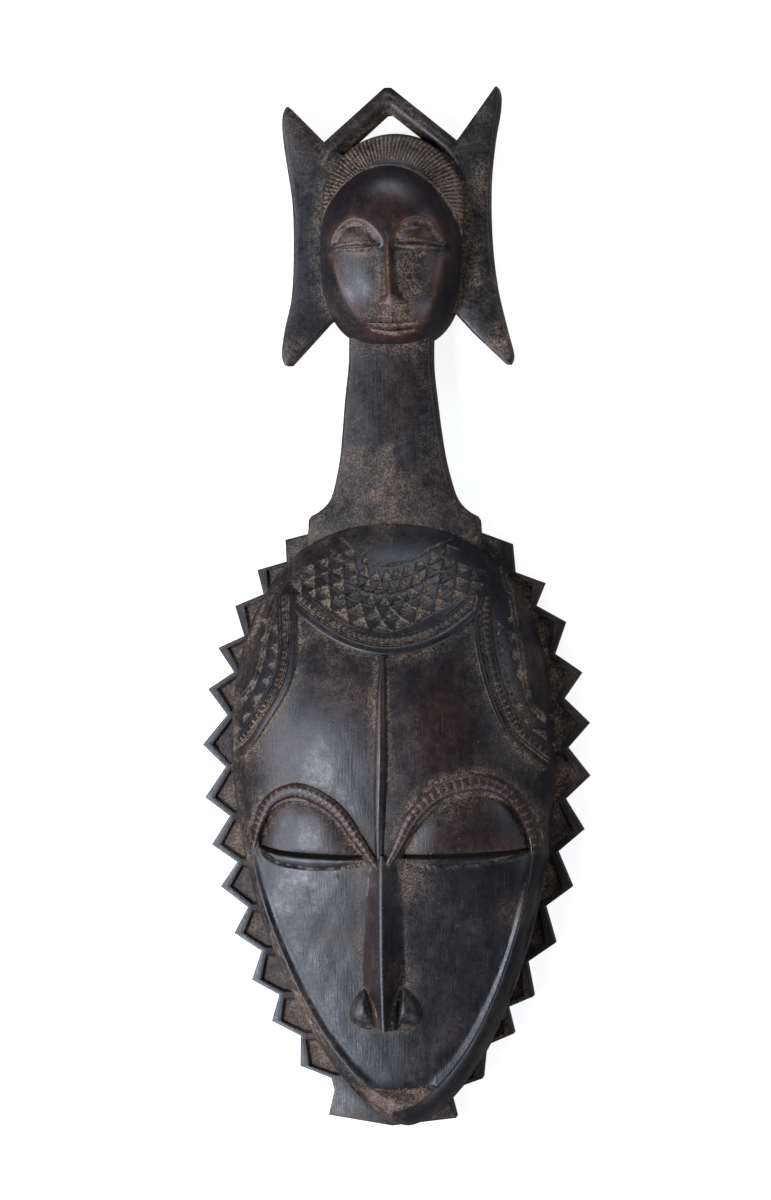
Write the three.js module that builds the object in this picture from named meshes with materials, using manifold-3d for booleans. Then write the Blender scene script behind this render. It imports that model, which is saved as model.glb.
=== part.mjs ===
// Yaure mask: a long oval face with a toothed border, carved from one block of
// dark wood, with a small horned head on a neck above it. The mask lies on its
// back: x runs to the viewer's right, y towards the small head and z out of the
// face. Lengths are in millimetres.
import * as THREE from 'three';
import { mergeVertices } from 'three/addons/utils/BufferGeometryUtils.js';
import Module from 'manifold-3d';

const wasm = await Module();
wasm.setup();

// Border plate and its teeth
const plateThickness = 14;
const plateBevel = 1.3;
const toothRim = 2.6;
const panel = { depth: 1.6, tipSetback: 4.9, sideSetback: 1.6, reach: 6 };
const widestLevel = -65;
const tipOutline = { halfWidth: 84.6, up: 112, down: 165, crown: 2.1, chin: 1.75 };
const valleyOutline = { halfWidth: 74.7, up: 107, down: 158, crown: 2.1, chin: 1.75 };
const leftTipLevels = [
  28.9, 15.7, 0, -18.3, -36.3, -60.5, -83.6, -104.2, -122.5, -142.8, -163.2, -181.1, -200.6,
];
const leftValleyLevels = [
  19.4, 5.2, -13.1, -28.8, -47.6, -70.3, -91.7, -111.8, -131.6, -150.6, -169.7, -187.5, -205.8,
];
const rightTipLevels = [27.1, 10, -7, -29, -51, -74, -97.4, -122.2, -146.6, -169.8, -186, -205.6];
const rightValleyLevels = [14.8, 0.2, -20.9, -40.3, -61.8, -84.2, -107.1, -130.9, -155, -174.7, -191.3, -211];
const borderMiddle = -0.5;
const footHalfWidth = 36.5;
const footLevel = 32;
const chinTooth = { halfWidth: 27.8, top: -211, bottom: -226.4, sag: 4.5, middle: -2 };

// Face shell
const face = { halfWidth: 70.8, up: 102.6, down: 161, crown: 2.3, chin: 1.66 };
const lean = { level: -60, offset: -1.6, slope: 0.042 };
const sideProfile = [
  [-230, 46], [-185, 47.5], [-150, 50.5], [-115, 55.5], [-85, 60], [-45, 62], [0, 58], [45, 50],
];
const foreheadRoundness = 2.5;
const cheekFall = 0.26;
const cheekWall = 14;
const cheekTop = -75;
const cheekFull = -135;
const rim = { ring: 0.952, width: 0.026, lift: 1.8 };
const cheekDip = { ring: 0.88, width: 0.06, depth: 1.6 };
const hollow = { wall: 9.5, crownWall: 17.5, rimLevel: 12, arch: 60, belowBack: 5 };
const clearOfFace = 90;

// Carving on the face
const browRise = 2.6;
const browNotches = 16;
const notchShare = 0.86;
const foreheadStrip = { endHalfWidth: 0.7, swell: 2.1, endRise: 1.6, riseSwell: 1.8 };
const noseRoot = -112;
const noseEnd = -180.5;
const noseMiddle = -2.3;
const noseBridge = { halfWidth: 8.8, rise: 5 };
const noseTip = { halfWidth: 10.8, rise: 14.5 };
const wing = { endHalfWidth: 0.6, swell: 3.8, endRise: 1.5, riseSwell: 6.5 };
const slitWidth = 1.2;
const lidSink = { edge: 3.2, middle: 0.9, lower: 0.5 };
const mouthDepth = 3;
const hairBand = { halfWidth: 3.2, rise: 1.3 };
const chipRows = 5;
const chipPitch = 0.098;
const chipSize = { width: 5.8, height: 4.6, depth: 1.2 };

// Neck, head, horns and loop
const neckThickness = 22;
const neckEdgeRadius = 2.5;
const head = {
  middle: -2.2, level: 158, halfWidth: 31.2, up: 39, down: 45.6, crown: 2, chin: 2.8, base: 12, front: 49,
};
const headCut = { chin: 0.8, socket: 2.4, from: 132, to: 160 };
const headNoseSize = { bridge: 2.9, tip: 7.2, rootRise: 3, tipRise: 7 };
const headLid = { halfWidth: 1.7, rise: 1.5 };
const headLips = { halfWidth: 2, rise: 1.6 };
const hair = {
  middle: -1.2, level: 174, radius: 32, nape: 1.35, base: 10, front: 34, grooves: 27, grooveDepth: 0.8,
  grooveFoot: 161.5,
};
const seatLevel = 1;
const hornThickness = 16;
const hornEdgeRadius = 2.8;
const backEdgeRadius = 1;
const loopBottom = 2;
const loopThickness = 15;
const loopBevel = 2;

const { abs, cos, hypot, max, min, PI, sign, sin, sqrt } = Math;

// Smooth step from 0 at a to 1 at b
function ease(a, b, value) {
  const t = min(max((value - a) / (b - a), 0), 1);
  return t * t * (3 - 2 * t);
}

function bell(value) {
  return Math.exp(-value * value);
}

// Smooth height through a table of [position, height] pairs
function through(table, position) {
  const last = table.length - 1;
  const at = min(max(position, table[0][0]), table[last][0]);
  let i = 0;
  while (i < last - 1 && at > table[i + 1][0]) i += 1;
  const slope = (k) => {
    const before = table[max(k - 1, 0)];
    const after = table[min(k + 1, last)];
    return (after[1] - before[1]) / (after[0] - before[0]);
  };
  const step = table[i + 1][0] - table[i][0];
  const u = (at - table[i][0]) / step;
  const rise = u * u * (3 - 2 * u);
  const start = u * (1 - u) * (1 - u) * step * slope(i);
  const end = u * u * (u - 1) * step * slope(i + 1);
  return table[i][1] * (1 - rise) + table[i + 1][1] * rise + start + end;
}

// The face's middle line leans a little to one side
function middleAt(y) {
  return lean.offset + lean.slope * max(lean.level - y, 0);
}

// Half width of an oval at a level: blunt towards the crown, pointed at the chin
function ovalHalfWidth(oval, y) {
  const v = y - widestLevel;
  const reach = v > 0 ? oval.up : oval.down;
  const power = v > 0 ? oval.crown : oval.chin;
  return oval.halfWidth * max(1 - (abs(v) / reach) ** power, 0) ** (1 / power);
}

// 0 at the middle of the face, 1 on its outline
function ringOf(oval, x, y) {
  const v = y - widestLevel;
  const reach = v > 0 ? oval.up : oval.down;
  const power = v > 0 ? oval.crown : oval.chin;
  const across = abs(x - middleAt(y)) / oval.halfWidth;
  return (across ** power + (abs(v) / reach) ** power) ** (1 / power);
}

// Height of the polished face: a dome over the forehead, and cheeks that fall
// away gently to a raised rim and a steep side
function faceHeight(x, y) {
  const ring = min(ringOf(face, x, y), 1);
  const cheek = 1 - ease(cheekFull, cheekTop, y);
  const dome = sqrt(1 - ring ** foreheadRoundness);
  const flat = (1 - cheekFall * ring ** 2) * sqrt(1 - ring ** cheekWall);
  const shell = (through(sideProfile, y) - plateThickness) * (dome + (flat - dome) * cheek);
  const dip = cheekDip.depth * bell((ring - cheekDip.ring) / cheekDip.width);
  const lift = rim.lift * bell((ring - rim.ring) / rim.width);
  return plateThickness + shell + cheek * (lift - dip);
}

// A closed body from a geometry whose faces point out
function solidOf(geometry) {
  const bare = geometry.clone();
  bare.deleteAttribute('normal');
  bare.deleteAttribute('uv');
  const merged = mergeVertices(bare, 1e-4);
  const index = merged.getIndex().array;
  const kept = [];
  for (let i = 0; i < index.length; i += 3) {
    const [a, b, c] = [index[i], index[i + 1], index[i + 2]];
    if (a !== b && b !== c && c !== a) kept.push(a, b, c);
  }
  const mesh = new wasm.Mesh({
    numProp: 3,
    vertProperties: new Float32Array(merged.getAttribute('position').array),
    triVerts: new Uint32Array(kept),
  });
  return new wasm.Manifold(mesh);
}

function moveVertices(geometry, place) {
  const position = geometry.getAttribute('position');
  const vertex = new THREE.Vector3();
  for (let i = 0; i < position.count; i += 1) {
    vertex.fromBufferAttribute(position, i);
    const [x, y, z] = place(vertex.x, vertex.y, vertex.z);
    position.setXYZ(i, x, y, z);
  }
  return geometry;
}

// A mound over an outline: rings of vertices from the centre out to the outline,
// between a lower and an upper surface
function mound({ centre, outline, rings, segments, upper, lower }) {
  const profile = [new THREE.Vector2(0, 0), new THREE.Vector2(1, 0)];
  [...rings].reverse().forEach((ring) => profile.push(new THREE.Vector2(ring, 1)));
  const geometry = new THREE.LatheGeometry(profile, segments);
  geometry.rotateX(PI / 2);
  return solidOf(moveVertices(geometry, (a, b, level) => {
    const ring = hypot(a, b);
    const edge = outline(Math.atan2(b, a));
    const x = centre.x + ring * (edge.x - centre.x);
    const y = centre.y + ring * (edge.y - centre.y);
    return [x, y, level > 0.5 ? upper(x, y, ring) : lower(x, y, ring)];
  }));
}

// A bar that follows a path over a surface. The section's points are
// [across, lift], with lift above 0 on the surface and below 0 under it.
function barAlong({ path, stations, section, halfWidth, rise, sink, surface }) {
  const shape = new THREE.Shape(section.map(([across, lift]) => new THREE.Vector2(across, lift)));
  const geometry = new THREE.ExtrudeGeometry(shape, { depth: 1, steps: stations, bevelEnabled: false });
  return solidOf(moveVertices(geometry, (across, lift, t) => {
    const point = path.getPointAt(t);
    const along = path.getTangentAt(t);
    const x = point.x - along.y * across * halfWidth(t);
    const y = point.y + along.x * across * halfWidth(t);
    const height = lift > 0 ? lift * rise(t) : lift * sink;
    return [x, y, surface(x, y) + height];
  }));
}

function curveThrough(points) {
  return new THREE.SplineCurve(points.map(([x, y]) => new THREE.Vector2(x, y)));
}

function plateOf(shape, bottom, top, bevel) {
  const geometry = new THREE.ExtrudeGeometry(shape, {
    depth: top - bottom - 2 * bevel,
    bevelEnabled: bevel > 0,
    bevelThickness: bevel,
    bevelSize: bevel,
    bevelOffset: -bevel,
    bevelSegments: bevel > 2 ? 3 : 1,
    curveSegments: 6,
  });
  return solidOf(geometry.translate(0, 0, bottom + bevel));
}

function polygon(points) {
  return new THREE.Shape(points.map(([x, y]) => new THREE.Vector2(x, y)));
}

// Tips and valleys of one side's teeth, from the neck's foot down to the chin
function toothPoints(side, tipLevels, valleyLevels) {
  return tipLevels.map((level, i) => ({
    tip: [borderMiddle + side * ovalHalfWidth(tipOutline, level), level],
    valley: [borderMiddle + side * ovalHalfWidth(valleyOutline, valleyLevels[i]), valleyLevels[i]],
  }));
}

const leftTeeth = toothPoints(-1, leftTipLevels, leftValleyLevels);
const rightTeeth = toothPoints(1, rightTipLevels, rightValleyLevels);

function chinToothPoints() {
  const { halfWidth, top, bottom, sag, middle } = chinTooth;
  return [
    [middle - halfWidth + 2.5, top],
    [middle - halfWidth, bottom + sag],
    [middle, bottom],
    [middle + halfWidth, bottom + sag - 1],
  ];
}

// The outline runs down the left side, under the chin and up the right side
function borderPlate() {
  const outline = [[-footHalfWidth, footLevel]];
  leftTeeth.forEach(({ tip, valley }) => outline.push(tip, valley));
  outline.push(...chinToothPoints());
  [...rightTeeth].reverse().forEach(({ tip, valley }) => outline.push(valley, tip));
  outline.push([footHalfWidth, footLevel]);
  return plateOf(polygon(outline), 0, plateThickness, plateBevel);
}

// Each tooth has a sunken triangle inside a narrow rim
function toothPanels(side, teeth) {
  const floor = plateThickness - panel.depth;
  const above = plateThickness + panel.depth;
  return teeth.slice(1).map(({ tip, valley }, i) => {
    const before = teeth[i].valley;
    const corner = [tip[0] - side * panel.tipSetback, tip[1]];
    const upper = [before[0] - side * toothRim, before[1] - panel.sideSetback];
    const lower = [valley[0] - side * toothRim, valley[1] + panel.sideSetback];
    const deep = -side * panel.reach;
    const points = [corner, upper, [upper[0] + deep, upper[1]], [lower[0] + deep, lower[1]], lower];
    if (side < 0) points.reverse();
    return plateOf(polygon(points), floor, above, 0);
  });
}

function ovalEdge(oval, angle) {
  const direction = { x: cos(angle), y: sin(angle) };
  const power = direction.y > 0 ? oval.crown : oval.chin;
  const reach = direction.y > 0 ? oval.up : oval.down;
  const size = (abs(direction.x) / oval.halfWidth) ** power + (abs(direction.y) / reach) ** power;
  const radius = size ** (-1 / power);
  const y = widestLevel + radius * direction.y;
  return { x: middleAt(y) + radius * direction.x, y };
}

const faceCentre = { x: middleAt(widestLevel), y: widestLevel };

function faceShell() {
  return mound({
    centre: faceCentre,
    outline: (angle) => ovalEdge(face, angle),
    rings: [0, 0.22, 0.42, 0.59, 0.73, 0.83, 0.9, 0.945, 0.975, 1],
    segments: 68,
    upper: faceHeight,
    lower: () => seatLevel,
  });
}

// The back is hollowed out to an even wall
function faceHollow() {
  const { wall, crownWall, rimLevel, arch, belowBack } = hollow;
  const inner = {
    ...face, halfWidth: face.halfWidth - wall, up: face.up - crownWall, down: face.down - wall,
  };
  return mound({
    centre: faceCentre,
    outline: (angle) => ovalEdge(inner, angle),
    rings: [0, 0.45, 0.8, 0.95, 1],
    segments: 32,
    upper: (x, y, ring) => {
      const roof = faceHeight(x, y) - wall;
      return min(roof, rimLevel + arch * sqrt(max(1 - ring ** 5, 0)));
    },
    lower: () => -belowBack,
  });
}

// Brow arches, from the outer end over the eye to the root of the nose
const leftBrow = curveThrough([
  [-60.2, -104.3], [-57, -93], [-51.5, -83.6], [-41, -79.1], [-30.3, -81.9],
  [-20.7, -88.9], [-12.9, -100], [-5.4, -111.5],
]);
const rightBrow = curveThrough([
  [61.4, -106.2], [60.4, -96.6], [55.6, -85.7], [47.8, -78], [37.7, -75.4],
  [26.8, -77.5], [17.5, -82.8], [9.5, -92], [3.6, -103.8], [-2.4, -113],
]);

function brow(path, sideWidths) {
  return barAlong({
    path,
    stations: 2 * browNotches,
    section: [[-1, -1], [1, -1], [0.95, 0.4], [0, 1], [-0.95, 0.4]],
    halfWidth: (t) => through(sideWidths, t),
    rise: (t) => browRise * (Math.round(t * 2 * browNotches) % 2 ? notchShare : 1) * ease(-0.05, 0.12, t),
    sink: 6,
    surface: faceHeight,
  });
}

const leftBrowWidths = [[0, 1.8], [0.2, 3], [0.45, 3.7], [0.75, 3.1], [1, 1.6]];
const rightBrowWidths = [[0, 1.8], [0.2, 3.2], [0.45, 4.2], [0.75, 3.4], [1, 1.6]];

// Each eye is a sunken lid under the brow: the air over it is cut away
const leftEye = {
  slit: [[-55.9, -104], [-48, -105.6], [-40.3, -106.4], [-26, -107.3], [-11.7, -107.9]],
  edge: [[-57.2, -103], [-53.5, -91], [-44, -84.2], [-32, -85], [-22.5, -92], [-14.5, -103], [-10.2, -110.6],
    [-22, -112.4], [-34.7, -112.7], [-49.8, -110.6]],
};
const rightEye = {
  slit: [[6.4, -107.4], [20, -106.9], [33.3, -106.4], [47, -105.7], [59, -104.9]],
  edge: [[5.4, -108], [9.4, -98.5], [18.5, -88.6], [28.5, -82.6], [39, -80.6], [49.5, -83.6], [57, -93],
    [59.8, -106.4], [45, -109.8], [33.3, -111], [18, -111.9]],
};

function closedCurve(points) {
  return new THREE.CatmullRomCurve3(points.map(([x, y]) => new THREE.Vector3(x, y, 0)), true);
}

// The point of a closed curve that lies in a direction from the centre
function edgeTowards(curve, centre, steps) {
  const points = curve.getPoints(steps);
  return (angle) => {
    const direction = { x: cos(angle), y: sin(angle) };
    let best = null;
    for (let i = 0; i < steps; i += 1) {
      const a = points[i];
      const b = points[i + 1];
      const sideA = direction.x * (a.y - centre.y) - direction.y * (a.x - centre.x);
      const sideB = direction.x * (b.y - centre.y) - direction.y * (b.x - centre.x);
      if (sideA === sideB || sign(sideA) === sign(sideB)) continue;
      const t = sideA / (sideA - sideB);
      const x = a.x + t * (b.x - a.x);
      const y = a.y + t * (b.y - a.y);
      const reach = direction.x * (x - centre.x) + direction.y * (y - centre.y);
      if (reach > 0 && (!best || reach > best.reach)) best = { x, y, reach };
    }
    return best;
  };
}

// A hollow cut in from above: rings of vertices over its floor, open at the top
function cutFromAbove({ edge, centre, segments, rings, floor }) {
  const profile = rings.map((ring) => new THREE.Vector2(ring, 0));
  profile.push(new THREE.Vector2(1, 1), new THREE.Vector2(0, 1));
  const geometry = new THREE.LatheGeometry(profile, segments);
  geometry.rotateX(PI / 2);
  const outline = edgeTowards(closedCurve(edge), centre, 120);
  return solidOf(moveVertices(geometry, (a, b, level) => {
    const ring = hypot(a, b);
    const end = outline(Math.atan2(b, a));
    const x = centre.x + ring * (end.x - centre.x);
    const y = centre.y + ring * (end.y - centre.y);
    return [x, y, level > 0.5 ? clearOfFace : floor(x, y, ring)];
  }));
}

function eyeHollow(eye) {
  const slit = curveThrough(eye.slit);
  const middle = slit.getPointAt(0.5);
  const centre = { x: middle.x, y: middle.y + 3 };
  return cutFromAbove({
    edge: eye.edge,
    centre,
    segments: 26,
    rings: [0, 0.5, 1],
    floor: (x, y, ring) => {
      const above = ease(-2, 8, y - middle.y);
      const sink = lidSink.middle + (lidSink.edge - lidSink.middle) * ring ** 3;
      return faceHeight(x, y) - (lidSink.lower * (1 - above) + sink * above);
    },
  });
}

function eyeSlit(eye) {
  return barAlong({
    path: curveThrough(eye.slit),
    stations: 4,
    section: [[-1, -1], [1, -1], [1, 1], [-1, 1]],
    halfWidth: (t) => 0.5 * slitWidth * (0.55 + 0.45 * sin(PI * t)),
    rise: () => 20,
    sink: 30,
    surface: faceHeight,
  });
}

function mouthHollow() {
  return cutFromAbove({
    edge: [[-18.3, -207.6], [-9, -207.4], [0.6, -207.9], [10, -207.2], [19.1, -206.8], [9.5, -214.5],
      [-0.5, -217.4], [-9.2, -214.8]],
    centre: { x: 0.5, y: -210.5 },
    segments: 28,
    rings: [0, 0.6, 1],
    floor: (x, y, ring) => faceHeight(x, y) - mouthDepth * (1 - 0.6 * ring ** 4),
  });
}

// The nose is a sharp wedge that widens to a flat end
function nose() {
  return barAlong({
    path: curveThrough([[noseMiddle - 0.5, noseRoot], [noseMiddle, -146], [noseMiddle - 0.2, noseEnd]]),
    stations: 8,
    section: [[-1, -1], [1, -1], [1, 0.02], [0.12, 0.96], [-0.12, 0.96], [-1, 0.02]],
    halfWidth: (t) => noseBridge.halfWidth + (noseTip.halfWidth - noseBridge.halfWidth) * t * t,
    rise: (t) => noseBridge.rise + (noseTip.rise - noseBridge.rise) * ease(-0.3, 1.2, t),
    sink: 6,
    surface: (x, y) => faceHeight(noseMiddle, y),
  });
}

function noseWing(side) {
  const points = [[-11, -164], [-13.6, -170], [-12.6, -176], [-8, -180.2]];
  const path = curveThrough(points.map(([x, y]) => [noseMiddle - side * (x - noseMiddle + 0.6), y]));
  return barAlong({
    path,
    stations: 7,
    section: [[-1, -1], [1, -1], [1, 0.1], [0.5, 0.8], [-0.5, 0.8], [-1, 0.1]],
    halfWidth: (t) => wing.endHalfWidth + wing.swell * sin(PI * (0.08 + 0.8 * t)),
    rise: (t) => wing.endRise + wing.riseSwell * sin(PI * (0.1 + 0.72 * t)),
    sink: 5,
    surface: faceHeight,
  });
}

// Narrow ridge down the middle of the forehead
function foreheadRidge() {
  return barAlong({
    path: curveThrough([[-2.3, -21.8], [-2.6, -45], [-2.8, -65.7], [-3.6, -90], [-4.4, -110.5]]),
    stations: 12,
    section: [[-1, -1], [1, -1], [1, 0.05], [0.2, 0.95], [-0.2, 0.95], [-1, 0.05]],
    halfWidth: (t) => foreheadStrip.endHalfWidth + foreheadStrip.swell * sin(PI * min(0.08 + t, 1)) ** 0.8,
    rise: (t) => foreheadStrip.endRise + foreheadStrip.riseSwell * sin(PI * min(0.15 + 0.85 * t, 1)),
    sink: 4,
    surface: faceHeight,
  });
}

// Raised bands along the hairline: one scallop over the forehead, one at each side
const hairlines = [
  [[-42.5, 6], [-31, -6.5], [-17.5, -14.2], [-1.3, -17.4], [14.8, -14.6], [28, -6.5], [40.8, 5]],
  [[-44.4, 3], [-43.4, -15], [-45, -27.6], [-49.3, -39], [-56.5, -49.2], [-66, -59.6]],
  [[39.6, 1], [40.8, -15.4], [43.9, -29.2], [48.3, -41.4], [53.8, -51.8], [61.2, -60.2]],
];

function hairlineBand(points) {
  return barAlong({
    path: curveThrough(points),
    stations: 11,
    section: [[-1, -1], [1, -1], [0.85, 1], [-0.85, 1]],
    halfWidth: () => hairBand.halfWidth,
    rise: () => hairBand.rise,
    sink: 4,
    surface: faceHeight,
  });
}

// Chip-carved triangles between the scallop and the crown
function hairChips() {
  const scallop = curveThrough(hairlines[0]);
  const chips = [];
  for (let row = 0; row < chipRows; row += 1) {
    const reach = hairBand.halfWidth + chipSize.height * (0.45 + row * 1.12);
    const count = 9 - row;
    for (let i = 0; i < count; i += 1) {
      const t = 0.5 + (i - (count - 1) / 2) * chipPitch;
      const along = scallop.getTangentAt(t);
      const point = scallop.getPointAt(t);
      const turn = Math.atan2(along.y, along.x);
      const drop = 1 - 0.25 * abs(along.y);
      chips.push(chip(point.x - along.y * reach, point.y + along.x * reach * drop, turn));
    }
  }
  return chips;
}

// A chip is a three-sided pit with its point away from the scallop
function chip(x, y, turn) {
  const geometry = new THREE.ConeGeometry(2, 2 * chipSize.depth, 3);
  geometry.rotateX(-PI / 2);
  geometry.scale(chipSize.width / sqrt(3), chipSize.height / 1.5, 1);
  geometry.rotateZ(turn);
  geometry.translate(x, y, faceHeight(x, y));
  return solidOf(geometry);
}

// A slab between a left and a right edge, level by level. Its section is drawn
// sectionHalf wide each way, so a point's distance in from the nearer edge is kept.
const sectionHalf = 10;

function slab({ from, to, stations, left, right, section }) {
  const shape = polygon(section);
  const geometry = new THREE.ExtrudeGeometry(shape, { depth: 1, steps: stations, bevelEnabled: false });
  return solidOf(moveVertices(geometry, (across, lift, t) => {
    const y = to + (from - to) * t;
    const low = left(y);
    const high = right(y);
    const inset = min(sectionHalf - abs(across), 0.4 * (high - low));
    return [across < 0 ? low + inset : high - inset, y, lift];
  }));
}

// Quarter circles round the two edges of a slab's section, the back's and the front's
function roundedSection(thickness, frontRadius) {
  const corners = [
    { radius: backEdgeRadius, level: backEdgeRadius, start: -PI / 2, steps: 1 },
    { radius: frontRadius, level: thickness - frontRadius, start: 0, steps: 2 },
  ];
  const points = corners.flatMap(({ radius, level, start, steps }) => (
    Array.from({ length: steps + 1 }, (_, i) => {
      const angle = start + (i * PI) / (2 * steps);
      return [sectionHalf - radius + radius * cos(angle), level + radius * sin(angle)];
    })
  ));
  const mirrored = points.map(([across, lift]) => [-across, lift]).reverse();
  return [...points, ...mirrored];
}

// The neck widens to a foot on the crown
const neckMiddles = [[24, -0.9], [45, -1.2], [60, -1.7], [90, -2.6], [118, -2.5]];
const neckWidths = [
  [24, 38.4], [33, 37.2], [38.6, 36.4], [41, 32.4], [44, 29], [48, 26.6], [54, 24.8], [64, 22.6],
  [77, 20.9], [88, 19.8], [104, 18.1], [118, 17.9],
];

function neck() {
  return slab({
    from: 24,
    to: 118,
    stations: 13,
    left: (y) => through(neckMiddles, y) - through(neckWidths, y),
    right: (y) => through(neckMiddles, y) + through(neckWidths, y),
    section: roundedSection(neckThickness, neckEdgeRadius),
  });
}

function headHeight(x, y) {
  const v = y - head.level;
  const power = v > 0 ? head.crown : head.chin;
  const reach = v > 0 ? head.up : head.down;
  const size = (abs(x - head.middle) / head.halfWidth) ** power + (abs(v) / reach) ** power;
  const ring = min(size ** (1 / power), 1);
  return head.base + (head.front - head.base) * sqrt(1 - ring ** 2.4);
}

function headEdge(angle) {
  const direction = { x: cos(angle), y: sin(angle) };
  const power = direction.y > 0 ? head.crown : head.chin;
  const reach = direction.y > 0 ? head.up : head.down;
  const size = (abs(direction.x) / head.halfWidth) ** power + (abs(direction.y) / reach) ** power;
  const radius = size ** (-1 / power);
  return { x: head.middle + radius * direction.x, y: head.level + radius * direction.y };
}

function smallHead() {
  return mound({
    centre: { x: head.middle, y: head.level },
    outline: headEdge,
    rings: [0, 0.4, 0.7, 0.87, 0.96, 1],
    segments: 40,
    upper: headHeight,
    lower: () => seatLevel,
  });
}

// The little face is cut back under the brows, and its features stand on it
const headFace = [
  [-25.8, 156], [-23, 162], [-15.7, 165], [-8.5, 161.5], [-2, 158.5], [4.5, 162], [11.9, 166], [19, 162.5],
  [21.6, 157], [20.6, 148], [17, 137.5], [12, 127], [7, 121], [-1, 119.5], [-9, 120.5], [-14.5, 127.5],
  [-20, 138], [-24.8, 148],
];

function headFloor(x, y) {
  return headHeight(x, y) - headCut.chin - headCut.socket * ease(headCut.from, headCut.to, y);
}

function headFaceHollow() {
  return cutFromAbove({
    edge: headFace,
    centre: { x: head.middle, y: 143 },
    segments: 40,
    rings: [0, 0.5, 1],
    floor: headFloor,
  });
}

function headNose() {
  return barAlong({
    path: curveThrough([[-1, 165], [-0.7, 150], [0.3, 129.8]]),
    stations: 6,
    section: [[-1, -1], [1, -1], [1, 0.05], [0.2, 0.95], [-0.2, 0.95], [-1, 0.05]],
    halfWidth: (t) => headNoseSize.bridge + (headNoseSize.tip - headNoseSize.bridge) * t ** 5,
    rise: (t) => headNoseSize.rootRise + (headNoseSize.tipRise - headNoseSize.rootRise) * t,
    sink: 4,
    surface: headFloor,
  });
}

function headRidge(points, { halfWidth, rise }) {
  return barAlong({
    path: curveThrough(points),
    stations: 8,
    section: [[-1, -1], [1, -1], [1, 0.1], [0, 1], [-1, 0.1]],
    halfWidth: (t) => 0.4 + halfWidth * sin(PI * t),
    rise: (t) => 0.4 + rise * sin(PI * t) ** 0.6,
    sink: 3,
    surface: headFloor,
  });
}

function headFeatures() {
  return [
    headNose(),
    headRidge([[-25.2, 154.4], [-15.5, 155.2], [-6, 154.8]], headLid),
    headRidge([[1.8, 156.4], [11.6, 157.4], [21.4, 157]], headLid),
    headRidge([[-8.8, 120.8], [0.2, 120.2], [8.8, 120.6]], headLips),
  ];
}

// Hair crest: a thick collar of fine ribs round the top of the head
function hairCrest() {
  const count = 2 * hair.grooves;
  return mound({
    centre: { x: hair.middle, y: hair.level },
    outline: (angle) => ({
      x: hair.middle + hair.radius * cos(angle),
      y: hair.level + (sin(angle) > 0 ? 1 : hair.nape) * hair.radius * sin(angle),
    }),
    rings: [0, 0.72, 0.92, 1],
    segments: count,
    upper: (x, y, ring) => {
      const turn = Math.round((Math.atan2(y - hair.level, x - hair.middle) / (2 * PI)) * count);
      const groove = ring > 0.7 && y > hair.grooveFoot && turn % 2 ? hair.grooveDepth : 0;
      return hair.base + (hair.front - hair.base) * sqrt(max(1 - ring ** 3, 0)) - groove;
    },
    lower: () => seatLevel,
  });
}

// Outer and inner edges of the horns at each level
const leftHorn = {
  outer: [[105, -49], [107, -50], [111, -50.4], [121, -49], [134, -46.2], [154, -45.2], [176, -45.8],
    [192, -48.2], [205, -50], [212.4, -50.2], [216, -49.4], [217.6, -48.4]],
  inner: [[105, -46.8], [125.1, -28.4], [130, -14], [190, -14], [202.6, -32.3], [217.6, -47.2]],
};
const rightHorn = {
  outer: [[105.4, 49.4], [107, 50.2], [109.8, 50.5], [121, 47.6], [139, 43.4], [160, 41], [184, 40.6],
    [203, 42.4], [216, 44.6], [223, 44.9], [225.8, 44]],
  inner: [[105.4, 47.4], [118.6, 33.4], [127.9, 24.9], [130, 12], [190, 12], [202.3, 26], [225.8, 42.8]],
};

function straight(table, position) {
  let i = 0;
  while (i < table.length - 2 && position > table[i + 1][0]) i += 1;
  const t = (position - table[i][0]) / (table[i + 1][0] - table[i][0]);
  return table[i][1] + t * (table[i + 1][1] - table[i][1]);
}

// A horn is a flat plate with rounded edges, curved in along its outer side
function horn({ outer, inner }, side) {
  const outerAt = (y) => through(outer, y);
  const innerAt = (y) => straight(inner, y);
  return slab({
    from: outer[0][0],
    to: outer[outer.length - 1][0],
    stations: 14,
    left: side < 0 ? outerAt : innerAt,
    right: side < 0 ? innerAt : outerAt,
    section: roundedSection(hornThickness, hornEdgeRadius),
  });
}

// The peaked loop that joins the horns above the head
const loopOutline = [
  [-37.5, 194], [-31.7, 202.7], [-5.7, 226], [-2.7, 226], [27.1, 202], [32.5, 194.5],
  [24.5, 192.6], [-3.8, 215.2], [-30.8, 193.2],
];

function loop() {
  return plateOf(polygon(loopOutline), loopBottom, loopBottom + loopThickness, loopBevel);
}

function joined(solids) {
  return solids.reduce((whole, solid) => whole.add(solid));
}

function without(body, cutters) {
  return cutters.reduce((rest, cutter) => rest.subtract(cutter), body);
}

function maskSolid() {
  const border = without(borderPlate(), [
    ...toothPanels(-1, leftTeeth),
    ...toothPanels(1, rightTeeth),
  ]);
  const carvedFace = without(
    joined([
      faceShell(),
      ...hairlines.map(hairlineBand),
    ]),
    [...hairChips(), eyeHollow(leftEye), eyeHollow(rightEye), mouthHollow()],
  );
  const whole = joined([
    border,
    carvedFace,
    brow(leftBrow, leftBrowWidths),
    brow(rightBrow, rightBrowWidths),
    foreheadRidge(),
    nose(),
    noseWing(1),
    noseWing(-1),
    neck(),
    horn(leftHorn, -1),
    horn(rightHorn, 1),
    hairCrest(),
    without(smallHead(), [headFaceHollow()]),
    ...headFeatures(),
    loop(),
  ]);
  return without(whole, [faceHollow(), eyeSlit(leftEye), eyeSlit(rightEye)]);
}

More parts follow.
